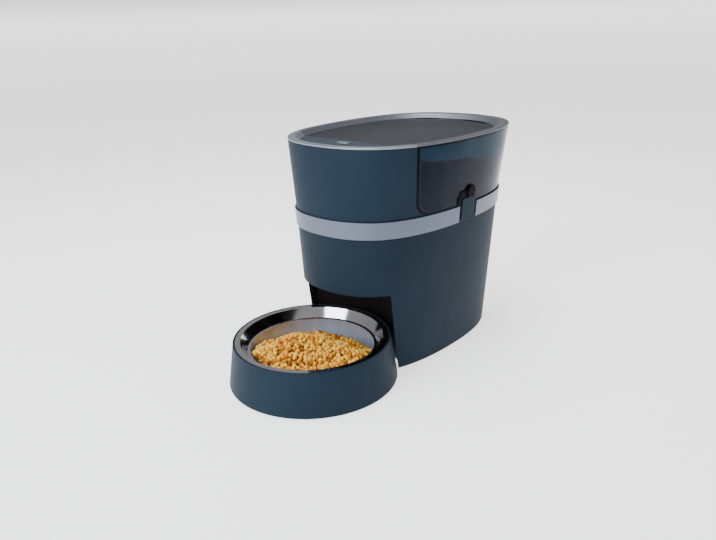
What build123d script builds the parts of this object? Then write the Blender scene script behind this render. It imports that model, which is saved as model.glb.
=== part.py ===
from build123d import *
import os
from math import acos, atan2, cos, degrees, hypot, pi, radians, sin, tan

# Automatic pet feeder with a hopper over a belt conveyor and a bowl docked in front.
# Millimetres, +Z up, the bowl towards -Y. The origin is the centre of the whole
# footprint on the floor. Places along Y in the first blocks are measured from the
# housing's own centre, body_y, and every part adds it.

# Oval outline at the waist, each quadrant one full-shouldered curve, and how far the
# body draws in towards the foot and flares towards the top
OVAL_FULLNESS = 0.70
WAIST_HALF_WIDTH = 107.6
WAIST_HALF_LENGTH = 163.1
WAIST_OFFSET = 7.75
WAIST_HEIGHT = 211.3
OVERALL_HEIGHT = 303.4
FOOT_DRAW_SIDE = 14.5
FOOT_DRAW_END = 9.9
FOOT_SHIFT = 3.95
TOP_FLARE_SIDE = 13.0
TOP_FLARE_END = 4.3
TOP_SHIFT = 2.65

# Walls and clearances
WALL = 3.0
THIN_WALL = 2.0
FIT = 0.3
SEAM = 0.5
RUNNING = 0.05
FOOT_GAP = 1.0
EDGE = 0.8
CORNER = 3.0

# Silver band round the waist
BAND_HEIGHT = 23.1
BAND_PROUD = 2.0
BAND_EDGE_RADIUS = 0.8

# Side latches in the gaps of the band
LATCH_OFFSET = 14.7
LATCH_WIDTH = 31.0
LATCH_HEIGHT = 32.0
BAND_GAP_SIDE = 4.6
LATCH_BARREL_RADIUS = 2.1
LATCH_PIN_RADIUS = 1.0
STUD_RADIUS = 8.4
STUD_PROUD = 4.0
STUD_RISE = 17.7
LATCH_PIN_INSET = 0.2
LATCH_CORNER = 2.5
STUD_CLIP = 1.5

# Food outlet and bowl dock in the housing's front
ALCOVE_HALF_WIDTH = 78.5
ALCOVE_HEIGHT = 111.5
DOCK_CLEARANCE = 5.0

# Bowl tray and steel bowl
BOWL_OFFSET = -180.4
TRAY_FOOT_RADIUS = 112.1
TRAY_RIM_RADIUS = 103.3
TRAY_HEIGHT = 57.1
TRAY_LIP = 2.4
BOWL_LIP_WIDTH = 7.0
BOWL_LEDGE_RADIUS = 85.0
BOWL_LEDGE_WIDTH = 3.5
BOWL_LEDGE_DEPTH = 12.5
BOWL_DEPTH = 47.0
BOWL_FLOOR_RADIUS = 60.0
BOWL_SHEET = 1.0
PAD_RADIUS = 6.0
PAD_INSET = 14.0
PAD_COUNT = 4

# Upper body: seams, window and rim
SEAM_TOP_OFFSET = -91.5
SEAM_FOOT_OFFSET = -83.2
WINDOW_CORNER = 18.0
SILL = 2.2
RIM_LIP = 2.3
RIM_DEPTH = 10.4
PANEL_DROP = 6.0
PANEL_THICKNESS = 2.5
CAP_RISE = 1.0
RIM_SIDE_BREADTH = 17.0
RIM_END_BREADTH = 19.5
RIM_SHIFT = 4.5
CREST_SIDE_BREADTH = 9.6
CREST_END_BREADTH = 11.8
CREST_SHIFT = 3.0
PANEL_LEDGE = 3.0
SKIRT_SWING_GAP = 1.2
SEAM_BAR = 16.0
SEAL_LIP = 1.5
HINGE_RADIUS = 2.8
HINGE_DROP = 0.7
HINGE_STANDOFF = 0.4
HINGE_PIN_RADIUS = 1.3
HINGE_LEAF = 28.0
HINGE_EAR = 11.0

# Feed button and electronics under the front cap
BUTTON_OFFSET = -108.0
BUTTON_LENGTH = 20.0
BUTTON_WIDTH = 11.0
BUTTON_PLATE = 1.2
BUTTON_FLANGE = 4.0
BUTTON_STEM_RADIUS = 2.2
BUTTON_STEM_LENGTH = 2.4
DOME_FOOT_RADIUS = 8.0
DOME_HEAD_RADIUS = 5.4
DOME_FOOT_WALL = 1.4
DOME_HEAD_WALL = 1.2
POST_RADIUS = 3.0
POST_SPREAD = 34.0
POST_SETBACK = 10.0
BOARD_DROP = 15.0
BOARD_THICKNESS = 1.6
BOARD_LENGTH = 84.0
BOARD_WIDTH = 30.0
BOARD_CORNER = 2.0
BOARD_SETBACK = 8.0
SWITCH_SIZE = 6.0
SWITCH_HEIGHT = 3.4
CHIP_SPREAD = 22.0
RADIO_LENGTH = 20.0
RADIO_WIDTH = 16.0
RADIO_HEIGHT = 2.6
RADIO_SETBACK = 2.0
CHIP_SIZE = 9.0
CHIP_HEIGHT = 1.4
PLUG_WIDTH = 10.0
PLUG_LENGTH = 6.0
PLUG_HEIGHT = 5.0
PLUG_OFFSET = 9.0

# Hopper floor and funnel
HOPPER_FLOOR_BORDER = 10.0
HOPPER_FRONT_OFFSET = -62.0
FUNNEL_BOTTOM = 159.0
OUTLET_HALF_WIDTH = 25.0
OUTLET_HALF_LENGTH = 36.0
OUTLET_OFFSET = 32.0

# Belt conveyor
DRIVE_OFFSET = -75.0
DRIVE_RISE = 27.5
IDLER_OFFSET = 75.0
BELT_FALL = 10.0
ROLLER_RADIUS = 12.0
ROLLER_GROOVES = 12
GROOVE_RADIUS = 0.8
SHAFT_RADIUS = 3.0
BELT_WIDTH = 60.0
BELT_THICKNESS = 1.5
CLEAT_COUNT = 18
CLEAT_HEIGHT = 5.0
CLEAT_THICKNESS = 2.0
CLEAT_ROOT = 0.4
PLATE_GAP = 68.0
PLATE_THICKNESS = 3.0
PLATE_HEIGHT = 40.0
PLATE_OVERHANG = 17.0
PLATE_CORNER = 9.0
SLOT_LENGTH = 26.0
SLOT_WIDTH = 12.0
SLOT_SPREAD = 22.0
TIE_RADIUS = 3.5
BED_CLEARANCE = 4.0
LEG_WIDTH = 12.0
FRONT_LEG_OFFSET = -47.0
REAR_LEG_OFFSET = 62.0
BUSH_WALL = 2.0
BUSH_FLANGE = 1.5
SHAFT_STUB = 2.0

# Gear train
GEAR_MODULE = 1.25
GEAR_TEETH = 36
PINION_TEETH = 16
GEAR_FACE = 6.0
ADDENDUM = 0.8
ROOT_CLEARANCE = 0.25
TOOTH_ROOT = 0.2
RING_TEETH = 4.5
BACKLASH = 0.12
PRESSURE_ANGLE = 20.0
HUB_WALL = 4.0
WEB_HOLES = 6
WEB_HOLE_RADIUS = 3.2
PINION_SHAFT_RADIUS = 2.5
MOTOR_RADIUS = 12.2
MOTOR_LENGTH = 23.0
GEARBOX_LENGTH = 14.0
GEARBOX_WIDTH = 34.0
GEARBOX_HEIGHT = 42.0
GEAR_GAP = 1.5
BRACKET_GAP = 4.0
BRACKET_WIDTH = 48.0
BRACKET_HEIGHT = 46.0
BRACKET_CORNER = 4.0
BRACKET_SHIFT = 3.0
STANDOFF_RADIUS = 3.0
MOTOR_SCREW_RADIUS = 1.5
MOTOR_SCREW_HEAD = 2.6
MOTOR_SCREW_HEAD_HEIGHT = 1.6
MOTOR_SCREW_GRIP = 7.0
TERMINAL_SPREAD = 6.0

# Food chute from the belt's end to the dock
CHUTE_HALF_WIDTH = 33.0
CHUTE_FRONT_OFFSET = -139.0
CHUTE_HEIGHT = 56.0
CHUTE_GAP = 4.0
CHUTE_FLANGE_SIDE = 14.0
CHUTE_FLANGE_END = 6.0
SENSOR_DEPTH = 6.0
SENSOR_WIDTH = 12.0
SENSOR_HEIGHT = 14.0

# Base, batteries and power inlet
BASE_THICKNESS = 3.0
FOOT_RADIUS = 8.0
FOOT_RECESS = 1.0
SCREW_RADIUS = 1.75
SCREW_HEAD = 2.0
BOSS_RADIUS = 4.5
BOSS_HEIGHT = 22.0
BOSS_BORDER = 1.5
CELL_RADIUS = 17.1
CELL_LENGTH = 61.5
CELL_PITCH = 34.8
CELL_NUB_RADIUS = 4.7
CELL_NUB_HEIGHT = 1.5
CONTACT_WIDTH = 14.0
CONTACT_SHEET = 1.0
CASE_HEADROOM = 2.5
CASE_OFFSET = 110.0
DOOR_WIDTH = 72.0
DOOR_HEIGHT = 64.0
DOOR_FOOT = 8.0
GRIP_DROP = 10.0
GRIP_RADIUS = 6.0
GRIP_LENGTH = 26.0
GRIP_STANDOFF = 4.8
INLET_HEIGHT = 95.0
INLET_BORE_RADIUS = 2.8
INLET_BORE_DEPTH = 9.5
INLET_RADIUS = 5.2
INLET_BODY = 14.0
INLET_BODY_DEPTH = 12.0

os.makedirs("parts", exist_ok=True)

# Ovals that follow from the waist, as half width, half length and centre
waist_oval = (WAIST_HALF_WIDTH, WAIST_HALF_LENGTH, WAIST_OFFSET)
foot_oval = (WAIST_HALF_WIDTH - FOOT_DRAW_SIDE, WAIST_HALF_LENGTH - FOOT_DRAW_END, WAIST_OFFSET - FOOT_SHIFT)
top_half_width = WAIST_HALF_WIDTH + TOP_FLARE_SIDE
top_half_length = WAIST_HALF_LENGTH + TOP_FLARE_END
top_offset = WAIST_OFFSET + TOP_SHIFT
top_oval = (top_half_width, top_half_length, top_offset)

# Places that follow from the sizes above
stud_z = WAIST_HEIGHT + STUD_RISE
drive_height = ALCOVE_HEIGHT + WALL + DRIVE_RISE
idler_height = drive_height - BELT_FALL
rim_bottom = OVERALL_HEIGHT - RIM_LIP
hinge_z = rim_bottom - HINGE_RADIUS - HINGE_DROP
hinge_reach = top_offset + top_half_length + HINGE_RADIUS + HINGE_STANDOFF
rear_reach = hinge_reach + HINGE_RADIUS
front_reach = TRAY_FOOT_RADIUS - BOWL_OFFSET
body_y = (front_reach - rear_reach) / 2
bowl_y = body_y + BOWL_OFFSET
hinge_y = body_y + hinge_reach
housing_bottom = FOOT_GAP
band_bottom = WAIST_HEIGHT - BAND_HEIGHT
housing_top = WAIST_HEIGHT - THIN_WALL
sill_top = WAIST_HEIGHT + SILL
dock_radius = TRAY_FOOT_RADIUS + DOCK_CLEARANCE
reach = 2 * (front_reach + rear_reach)


def outline_at(height, inset=0.0):
    """Half width, half length and centre of the body's oval at a height."""
    if height <= WAIST_HEIGHT:
        share = height / WAIST_HEIGHT
        low, high = foot_oval, waist_oval
    else:
        share = (height - WAIST_HEIGHT) / (OVERALL_HEIGHT - WAIST_HEIGHT)
        low, high = waist_oval, top_oval
    width, length, offset = (a + (b - a) * share for a, b in zip(low, high))
    return width - inset, length - inset, offset


def quadrant(t):
    """Point of the unit oval's quadrant, t running from 0 at the side to 1 at the end."""
    s = 1 - t
    across = s**3 + 3 * s**2 * t + 3 * OVAL_FULLNESS * s * t**2
    along = t**3 + 3 * s * t**2 + 3 * OVAL_FULLNESS * s**2 * t
    return across, along


def oval_face(half_width, half_length, offset, height):
    """Level oval face of four curves whose handles lie along the sides and the ends."""
    middle = body_y + offset
    with BuildSketch(Plane.XY.offset(height)) as face:
        with BuildLine():
            for across, along in ((1, 1), (-1, 1), (-1, -1), (1, -1)):
                Bezier(
                    (across * half_width, middle),
                    (across * half_width, middle + OVAL_FULLNESS * along * half_length),
                    (OVAL_FULLNESS * across * half_width, middle + along * half_length),
                    (0, middle + along * half_length),
                )
        make_face()
    return face.sketch


def oval(height, inset=0.0):
    """Body's oval at a height, drawn in by an inset."""
    return oval_face(*outline_at(height, inset), height)


def opening_face(height, inset=0.0):
    """Level face of the rim's opening at a height, drawn in by an inset."""
    return oval_face(
        top_half_width - RIM_SIDE_BREADTH - inset,
        top_half_length - RIM_END_BREADTH - inset,
        top_offset - RIM_SHIFT,
        height,
    )


def rear_y(height, inset=0.0):
    """Rearmost Y of the body's oval at a height."""
    _, length, offset = outline_at(height, inset)
    return body_y + offset + length


def side_x(height, y, inset=0.0):
    """Half width of the body's oval at a height and a place along Y."""
    width, length, offset = outline_at(height, inset)
    share = abs(y - body_y - offset) / length
    low, high = 0.0, 1.0
    while high - low > 1e-6:
        middle = (low + high) / 2
        low, high = (middle, high) if quadrant(middle)[1] < share else (low, middle)
    return width * quadrant(low)[0]


def dock_plan(height, grow=0.0):
    """Plan of the dock: the bowl's circle between two straight cheeks."""
    with BuildSketch(Plane.XY.offset(height)) as plan:
        with Locations((0, bowl_y)):
            Circle(dock_radius + grow)
            Rectangle(2 * (ALCOVE_HALF_WIDTH + grow), 3 * dock_radius, mode=Mode.INTERSECT)
    return plan.sketch


# Latch geometry shared by the housing, the latches and their pins
latch_y = body_y + LATCH_OFFSET
latch_pin_z = band_bottom + LATCH_BARREL_RADIUS
latch_pin_x = side_x(latch_pin_z, latch_y) - LATCH_PIN_INSET
latch_top = band_bottom + LATCH_HEIGHT
band_gap = LATCH_WIDTH + 2 * BAND_GAP_SIDE
lug_width = BAND_GAP_SIDE - 2 * FIT
lug_top = latch_pin_z + LATCH_BARREL_RADIUS + EDGE

# Conveyor geometry shared by its frame, belt, rollers and gears
belt_run = hypot(IDLER_OFFSET - DRIVE_OFFSET, drive_height - idler_height)
belt_slope = atan2(drive_height - idler_height, IDLER_OFFSET - DRIVE_OFFSET)
belt_inner = ROLLER_RADIUS + FIT
belt_outer = belt_inner + BELT_THICKNESS
drive_y = body_y + DRIVE_OFFSET
idler_y = body_y + IDLER_OFFSET
plate_x = PLATE_GAP / 2
bush_radius = SHAFT_RADIUS + RUNNING + BUSH_WALL
flange_x = plate_x + PLATE_THICKNESS + BUSH_FLANGE
gear_x = flange_x + GEAR_GAP
bracket_x = gear_x + GEAR_FACE + BRACKET_GAP
belt_plane = Plane(
    origin=(0, idler_y, idler_height),
    x_dir=(0, -cos(belt_slope), sin(belt_slope)),
    z_dir=(-1, 0, 0),
)

# The outer body as plain solids, for cutting the shells from
with BuildPart() as lower_form:
    loft([oval(housing_bottom), oval(housing_top)], ruled=True)

with BuildPart() as upper_form:
    loft([oval(WAIST_HEIGHT), oval(rim_bottom)], ruled=True)

with BuildPart() as upper_cavity:
    loft([oval(WAIST_HEIGHT, WALL), oval(rim_bottom, WALL)], ruled=True)

with BuildPart() as dock_liner:
    add(lower_form.part)
    liner_height = ALCOVE_HEIGHT + WALL - housing_bottom
    extrude(dock_plan(housing_bottom, WALL), amount=liner_height, mode=Mode.INTERSECT)

with BuildPart() as latch_lugs:
    loft([oval(band_bottom, FIT - BAND_PROUD), oval(lug_top, FIT - BAND_PROUD)], ruled=True)
    loft([oval(band_bottom, WALL / 2), oval(lug_top, WALL / 2)], ruled=True, mode=Mode.SUBTRACT)
    with BuildSketch(Plane.XY.offset(band_bottom)):
        with Locations(*[(0, latch_y + s * (LATCH_WIDTH + 2 * FIT + lug_width) / 2) for s in (-1, 1)]):
            Rectangle(reach, lug_width)
    extrude(amount=lug_top - band_bottom, mode=Mode.INTERSECT)

with BuildPart() as latch_bosses:
    add(lower_form.part)
    with BuildSketch(Plane.XY.offset(band_bottom - WALL)):
        with Locations(*[(s * (latch_pin_x + WALL), latch_y) for s in (-1, 1)]):
            Rectangle(4 * WALL + 2 * LATCH_BARREL_RADIUS, band_gap)
    extrude(amount=lug_top - band_bottom + 2 * WALL, mode=Mode.INTERSECT)

# Lower housing: tapered oval shell with the dock, latch lugs, screw bosses and rear openings
chute_front = body_y + CHUTE_FRONT_OFFSET
chute_rear = drive_y - belt_outer - CLEAT_HEIGHT - CHUTE_GAP
chute_center = (chute_front + chute_rear) / 2
chute_length = chute_rear - chute_front
case_half = CELL_PITCH + THIN_WALL
case_y = body_y + CASE_OFFSET
case_rear = case_y + case_half
door_center = DOOR_FOOT + DOOR_HEIGHT / 2
inlet_y = rear_y(INLET_HEIGHT)
boss_inset = WALL + 2 * SCREW_RADIUS + BOSS_BORDER


def wall_place(side, t, inset):
    """Place on the housing's foot oval, drawn in by an inset, and the wall's outward direction."""
    width, length, offset = outline_at(housing_bottom, inset)
    before, place, after = quadrant(t - 0.01), quadrant(t), quadrant(t + 0.01)
    lean = atan2((before[0] - after[0]) * width, side * (after[1] - before[1]) * length)
    return side * width * place[0], body_y + offset + length * place[1], degrees(lean)


boss_marks = [wall_place(side, t, boss_inset) for side in (-1, 1) for t in (0.03, 0.6)]
boss_places = [(x, y) for x, y, _ in boss_marks]
base_top = housing_bottom + BASE_THICKNESS

with BuildPart() as base_housing:
    add(lower_form.part)
    loft([oval(housing_bottom, WALL), oval(housing_top, WALL)], ruled=True, mode=Mode.SUBTRACT)
    add(dock_liner.part)
    add(latch_lugs.part)
    add(latch_bosses.part)
    extrude(dock_plan(0), amount=ALCOVE_HEIGHT, mode=Mode.SUBTRACT)
    with BuildSketch(Plane.XY.offset(ALCOVE_HEIGHT)):
        with Locations((0, chute_center)):
            Rectangle(2 * CHUTE_HALF_WIDTH, chute_length)
    extrude(amount=WALL, mode=Mode.SUBTRACT)
    with BuildSketch(Plane.XY.offset(base_top)):
        with Locations(*boss_places):
            Circle(BOSS_RADIUS)
        with Locations(*[Location((x, y), lean) for x, y, lean in boss_marks]):
            Rectangle(boss_inset - EDGE, THIN_WALL, align=(Align.MIN, Align.CENTER))
    extrude(amount=BOSS_HEIGHT)
    with BuildSketch(Plane.XY.offset(base_top)):
        with Locations(*boss_places):
            Circle(SCREW_RADIUS + RUNNING)
    extrude(amount=BOSS_HEIGHT - THIN_WALL, mode=Mode.SUBTRACT)
    with BuildSketch(Plane(origin=(0, case_rear, door_center), x_dir=(1, 0, 0), z_dir=(0, 1, 0))):
        RectangleRounded(DOOR_WIDTH + 2 * FIT, DOOR_HEIGHT + 2 * FIT, CORNER + FIT)
    extrude(amount=reach, mode=Mode.SUBTRACT)
    with BuildSketch(Plane(origin=(0, inlet_y - 2 * WALL, INLET_HEIGHT), x_dir=(1, 0, 0), z_dir=(0, 1, 0))):
        Circle(INLET_RADIUS + FIT)
    extrude(amount=reach, mode=Mode.SUBTRACT)
    with Locations(*[(s * latch_pin_x, latch_y, latch_pin_z) for s in (-1, 1)]):
        Box(
            2 * (LATCH_BARREL_RADIUS + FIT),
            LATCH_WIDTH + 2 * FIT,
            2 * (LATCH_BARREL_RADIUS + FIT),
            mode=Mode.SUBTRACT,
        )
        Cylinder(
            LATCH_PIN_RADIUS + RUNNING,
            band_gap - FIT,
            rotation=(90, 0, 0),
            mode=Mode.SUBTRACT,
        )

base_housing.part.label = "base_housing"
export_step(base_housing.part, "parts/base_housing.step")

# Base plate: closes the housing behind the dock, with foot recesses and screw holes
foot_places = [
    (side * (side_x(housing_bottom, body_y + place) - 2.6 * FOOT_RADIUS), body_y + place)
    for place in (FRONT_LEG_OFFSET, CASE_OFFSET - 20)
    for side in (-1, 1)
]
with BuildPart() as base_plate:
    extrude(oval(housing_bottom, WALL + FIT), amount=BASE_THICKNESS)
    extrude(dock_plan(0, WALL + FIT), amount=base_top + 1, mode=Mode.SUBTRACT)
    with BuildSketch(Plane.XY.offset(housing_bottom)):
        with Locations(*foot_places):
            Circle(FOOT_RADIUS + FIT)
    extrude(amount=FOOT_RECESS, mode=Mode.SUBTRACT)
    with Locations(*[(x, y, housing_bottom) for x, y in boss_places]):
        with Locations(Rotation(180, 0, 0)):
            CounterBoreHole(
                SCREW_RADIUS + FIT - RUNNING, 2 * SCREW_RADIUS + FIT, SCREW_HEAD, depth=BASE_THICKNESS
            )

base_plate.part.label = "base_plate"
export_step(base_plate.part, "parts/base_plate.step")

with BuildPart() as rubber_feet:
    with BuildSketch():
        with Locations(*foot_places):
            Circle(FOOT_RADIUS)
    extrude(amount=housing_bottom + FOOT_RECESS)
    chamfer(rubber_feet.edges().group_by(Axis.Z)[0], EDGE / 2)

rubber_feet.part.label = "rubber_feet"
export_step(rubber_feet.part, "parts/rubber_feet.step")

with BuildPart() as base_screws:
    with BuildSketch(Plane.XY.offset(housing_bottom + FIT)):
        with Locations(*boss_places):
            Circle(2 * SCREW_RADIUS)
            RegularPolygon(SCREW_RADIUS, 6, mode=Mode.SUBTRACT)
    extrude(amount=SCREW_HEAD - FIT)
    with BuildSketch(Plane.XY.offset(housing_bottom + SCREW_HEAD - SEAM)):
        with Locations(*boss_places):
            Circle(SCREW_RADIUS)
    extrude(amount=BOSS_HEIGHT / 2)

base_screws.part.label = "base_screws"
export_step(base_screws.part, "parts/base_screws.step")

# Silver band: a thin shell standing proud of the housing, open where the latches sit
with BuildPart() as trim_band:
    loft(
        [
            oval(band_bottom, -FIT),
            oval(band_bottom + BAND_EDGE_RADIUS, -BAND_PROUD),
            oval(WAIST_HEIGHT - BAND_EDGE_RADIUS / 2, -BAND_PROUD),
            oval(WAIST_HEIGHT, BAND_EDGE_RADIUS / 2 - BAND_PROUD),
        ],
        ruled=True,
    )
    loft([oval(band_bottom, -FIT), oval(WAIST_HEIGHT, -FIT)], ruled=True, mode=Mode.SUBTRACT)
    with BuildSketch(Plane.XY.offset(band_bottom)):
        with Locations((0, latch_y)):
            Rectangle(reach, band_gap)
    extrude(amount=BAND_HEIGHT, mode=Mode.SUBTRACT)

trim_band.part.label = "trim_band"
export_step(trim_band.part, "parts/trim_band.step")

# Latches: a curved tongue on a pin, with a cradle round the hopper's stud
stud_x = side_x(stud_z, latch_y)
stud_lean = atan2(TOP_FLARE_SIDE, OVERALL_HEIGHT - WAIST_HEIGHT)


def side_latch(side):
    """Latch tongue and barrel on the right (1) or left (-1) side."""
    with BuildPart() as latch:
        loft([oval(latch_pin_z, -BAND_PROUD), oval(latch_top, -BAND_PROUD)], ruled=True)
        loft([oval(latch_pin_z, -FIT), oval(latch_top, -FIT)], ruled=True, mode=Mode.SUBTRACT)
        with BuildSketch(Plane.YZ) as tongue:
            with Locations((latch_y, (latch_pin_z + latch_top) / 2)):
                Rectangle(LATCH_WIDTH, latch_top - latch_pin_z)
            fillet(tongue.vertices().group_by(Axis.Y)[-1], LATCH_CORNER)
            with Locations((latch_y, stud_z)):
                Circle(STUD_RADIUS + 2 * FIT, mode=Mode.SUBTRACT)
        extrude(amount=side * reach, mode=Mode.INTERSECT)
        with Locations((side * latch_pin_x, latch_y, latch_pin_z)):
            Cylinder(LATCH_BARREL_RADIUS, LATCH_WIDTH, rotation=(90, 0, 0))
            Cylinder(LATCH_PIN_RADIUS + RUNNING, LATCH_WIDTH, rotation=(90, 0, 0), mode=Mode.SUBTRACT)
    return latch.part


latch_right = side_latch(1)
latch_right.label = "latch_right"
export_step(latch_right, "parts/latch_right.step")

latch_left = side_latch(-1)
latch_left.label = "latch_left"
export_step(latch_left, "parts/latch_left.step")

with BuildPart() as latch_pins:
    with Locations(*[(s * latch_pin_x, latch_y, latch_pin_z) for s in (-1, 1)]):
        Cylinder(LATCH_PIN_RADIUS, band_gap - 2 * FIT, rotation=(90, 0, 0))

latch_pins.part.label = "latch_pins"
export_step(latch_pins.part, "parts/latch_pins.step")


def stud_plane(side):
    """Plane on the hopper's wall at a stud, facing outwards."""
    return Plane(
        origin=(side * stud_x, latch_y, stud_z),
        x_dir=(0, 1, 0),
        z_dir=(side * cos(stud_lean), 0, -sin(stud_lean)),
    )


with BuildPart() as latch_studs:
    for plane in (stud_plane(1), stud_plane(-1)):
        with BuildSketch(plane.offset(FIT)):
            Circle(STUD_RADIUS)
        extrude(amount=STUD_PROUD - FIT)
        with BuildSketch(plane.offset(-WALL - FIT)):
            Circle(STUD_RADIUS / 2)
        extrude(amount=WALL + 2 * FIT)
        with BuildSketch(plane.offset(-WALL - FIT)):
            Circle(STUD_RADIUS * 0.75)
        extrude(amount=-STUD_CLIP)
    chamfer(latch_studs.edges().group_by(Axis.X)[-1], EDGE)
    chamfer(latch_studs.edges().group_by(Axis.X)[0], EDGE)

latch_studs.part.label = "latch_studs"
export_step(latch_studs.part, "parts/latch_studs.step")

# Upper body: the seam between the navy front cover and the clear hopper
seam_rise = rim_bottom - sill_top
seam_slope = (SEAM_FOOT_OFFSET - SEAM_TOP_OFFSET) / seam_rise


def window_plan(shift, floor, corner):
    """Side profile behind the leaning seam, moved back by shift, with a rounded front corner."""
    top = rim_bottom + 2 * WALL
    foot_y = body_y + SEAM_FOOT_OFFSET + shift - seam_slope * (floor - sill_top)
    top_y = body_y + SEAM_TOP_OFFSET + shift - seam_slope * (top - rim_bottom)
    with BuildSketch(Plane.YZ) as plan:
        with BuildLine():
            Polyline((foot_y, floor), (reach, floor), (reach, top), (top_y, top), close=True)
        make_face()
        fillet(plan.vertices().group_by(Axis.Y)[0].sort_by(Axis.X)[0], corner)
    return plan.sketch


with BuildPart() as front_cover:
    add(upper_form.part)
    add(upper_cavity.part, mode=Mode.SUBTRACT)
    extrude(window_plan(-SEAM, sill_top, WINDOW_CORNER), amount=reach, both=True, mode=Mode.SUBTRACT)

front_cover.part.label = "front_cover"
export_step(front_cover.part, "parts/front_cover.step")

ledge_bottom = OVERALL_HEIGHT - RIM_DEPTH
floor_rear = WAIST_OFFSET + WAIST_HALF_LENGTH - WALL - HOPPER_FLOOR_BORDER
floor_half_width = WAIST_HALF_WIDTH - WALL - HOPPER_FLOOR_BORDER
floor_half_length = (floor_rear - HOPPER_FRONT_OFFSET) / 2
floor_offset = (floor_rear + HOPPER_FRONT_OFFSET) / 2
liner_inset = WALL + FIT
ear_places = [s * (HINGE_LEAF + HINGE_EAR + 2 * FIT) / 2 for s in (-1, 1)]

with BuildPart() as hopper:
    add(upper_form.part)
    add(upper_cavity.part, mode=Mode.SUBTRACT)
    for plane in (stud_plane(1), stud_plane(-1)):
        with BuildSketch(plane.offset(-2 * WALL)):
            Circle(STUD_RADIUS / 2 + FIT)
        extrude(amount=3 * WALL, mode=Mode.SUBTRACT)
    extrude(window_plan(0, sill_top, WINDOW_CORNER), amount=reach, both=True, mode=Mode.INTERSECT)
    with Locations(*[(x, hinge_y, hinge_z) for x in ear_places]):
        Cylinder(HINGE_RADIUS, HINGE_EAR, rotation=(0, 90, 0))
        Box(HINGE_EAR, hinge_y - rear_y(hinge_z) + 0.8 * WALL, 1.6 * HINGE_RADIUS,
            align=(Align.CENTER, Align.MAX, Align.CENTER))
        Cylinder(HINGE_PIN_RADIUS + RUNNING, HINGE_EAR, rotation=(0, 90, 0), mode=Mode.SUBTRACT)

hopper.part.label = "hopper"
export_step(hopper.part, "parts/hopper.step")

# Liner: the hopper's front wall and floor ring in one piece inside the clear shell
with BuildPart() as hopper_liner:
    extrude(window_plan(0, WAIST_HEIGHT, WINDOW_CORNER), amount=top_half_width, both=True)
    inner_plan = window_plan(WALL, sill_top + WALL, WINDOW_CORNER - WALL)
    extrude(inner_plan, amount=reach, both=True, mode=Mode.SUBTRACT)
    extrude(
        oval_face(floor_half_width, floor_half_length, floor_offset, WAIST_HEIGHT - 1),
        amount=sill_top + 2 * WALL - WAIST_HEIGHT,
        mode=Mode.SUBTRACT,
    )
    liner_ends = [oval(WAIST_HEIGHT, liner_inset), oval(ledge_bottom - 4 * SEAM, liner_inset)]
    loft(liner_ends, ruled=True, mode=Mode.INTERSECT)

hopper_liner.part.label = "hopper_liner"
export_step(hopper_liner.part, "parts/hopper_liner.step")

# Funnel: a flange clamped on the housing's rim, tapering to the outlet over the belt
with BuildPart() as hopper_funnel:
    loft([oval(housing_top, FIT), oval(WAIST_HEIGHT, FIT)], ruled=True)
    for grow, mouth, mode in ((THIN_WALL, housing_top, Mode.ADD), (0, WAIST_HEIGHT, Mode.SUBTRACT)):
        outlet = oval_face(OUTLET_HALF_WIDTH + grow, OUTLET_HALF_LENGTH + grow, OUTLET_OFFSET, FUNNEL_BOTTOM)
        inlet = oval_face(floor_half_width + grow, floor_half_length + grow, floor_offset, mouth)
        loft([outlet, inlet], ruled=True, mode=mode)

hopper_funnel.part.label = "hopper_funnel"
export_step(hopper_funnel.part, "parts/hopper_funnel.step")

# Rim: one oval ring in two parts, the front fixed and the rear moving with the lid
panel_top = OVERALL_HEIGHT - PANEL_DROP
panel_bottom = panel_top - PANEL_THICKNESS
lid_seam_y = body_y + SEAM_TOP_OFFSET
skirt_inset = WALL + SKIRT_SWING_GAP
groove_top = rim_bottom - THIN_WALL
rim_shoulder = OVERALL_HEIGHT - EDGE
front_of_seam = Plane(origin=(0, lid_seam_y - SEAM / 2, 0), x_dir=(1, 0, 0), z_dir=(0, -1, 0))
rear_of_seam = Plane(origin=(0, lid_seam_y + SEAM / 2, 0), x_dir=(1, 0, 0), z_dir=(0, 1, 0))

with BuildPart() as rim_blank:
    loft([oval(rim_bottom), oval(rim_shoulder), oval(OVERALL_HEIGHT, EDGE)], ruled=True)
    loft([oval(ledge_bottom, skirt_inset), oval(rim_bottom, skirt_inset)], ruled=True)
    crest = oval_face(
        top_half_width - CREST_SIDE_BREADTH,
        top_half_length - CREST_END_BREADTH,
        top_offset - CREST_SHIFT,
        OVERALL_HEIGHT,
    )
    loft([opening_face(panel_top), crest], ruled=True, mode=Mode.SUBTRACT)
    extrude(opening_face(panel_bottom), amount=PANEL_THICKNESS, mode=Mode.SUBTRACT)
    with BuildSketch(Plane.XY.offset(ledge_bottom)):
        add(opening_face(0, PANEL_LEDGE))
        with Locations((0, lid_seam_y)):
            Rectangle(reach, SEAM_BAR, mode=Mode.SUBTRACT)
    extrude(amount=panel_bottom - ledge_bottom, mode=Mode.SUBTRACT)
    with BuildSketch(Plane.XY.offset(ledge_bottom)):
        add(oval_face(*outline_at(ledge_bottom, 2 * WALL + FIT), 0))
        add(oval_face(*outline_at(ledge_bottom, 4 * WALL), 0), mode=Mode.SUBTRACT)
    extrude(amount=groove_top - ledge_bottom, mode=Mode.SUBTRACT)

with BuildPart() as front_rim:
    add(rim_blank.part)
    split(bisect_by=front_of_seam, keep=Keep.TOP)

front_rim.part.label = "front_rim"
export_step(front_rim.part, "parts/front_rim.step")

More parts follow.
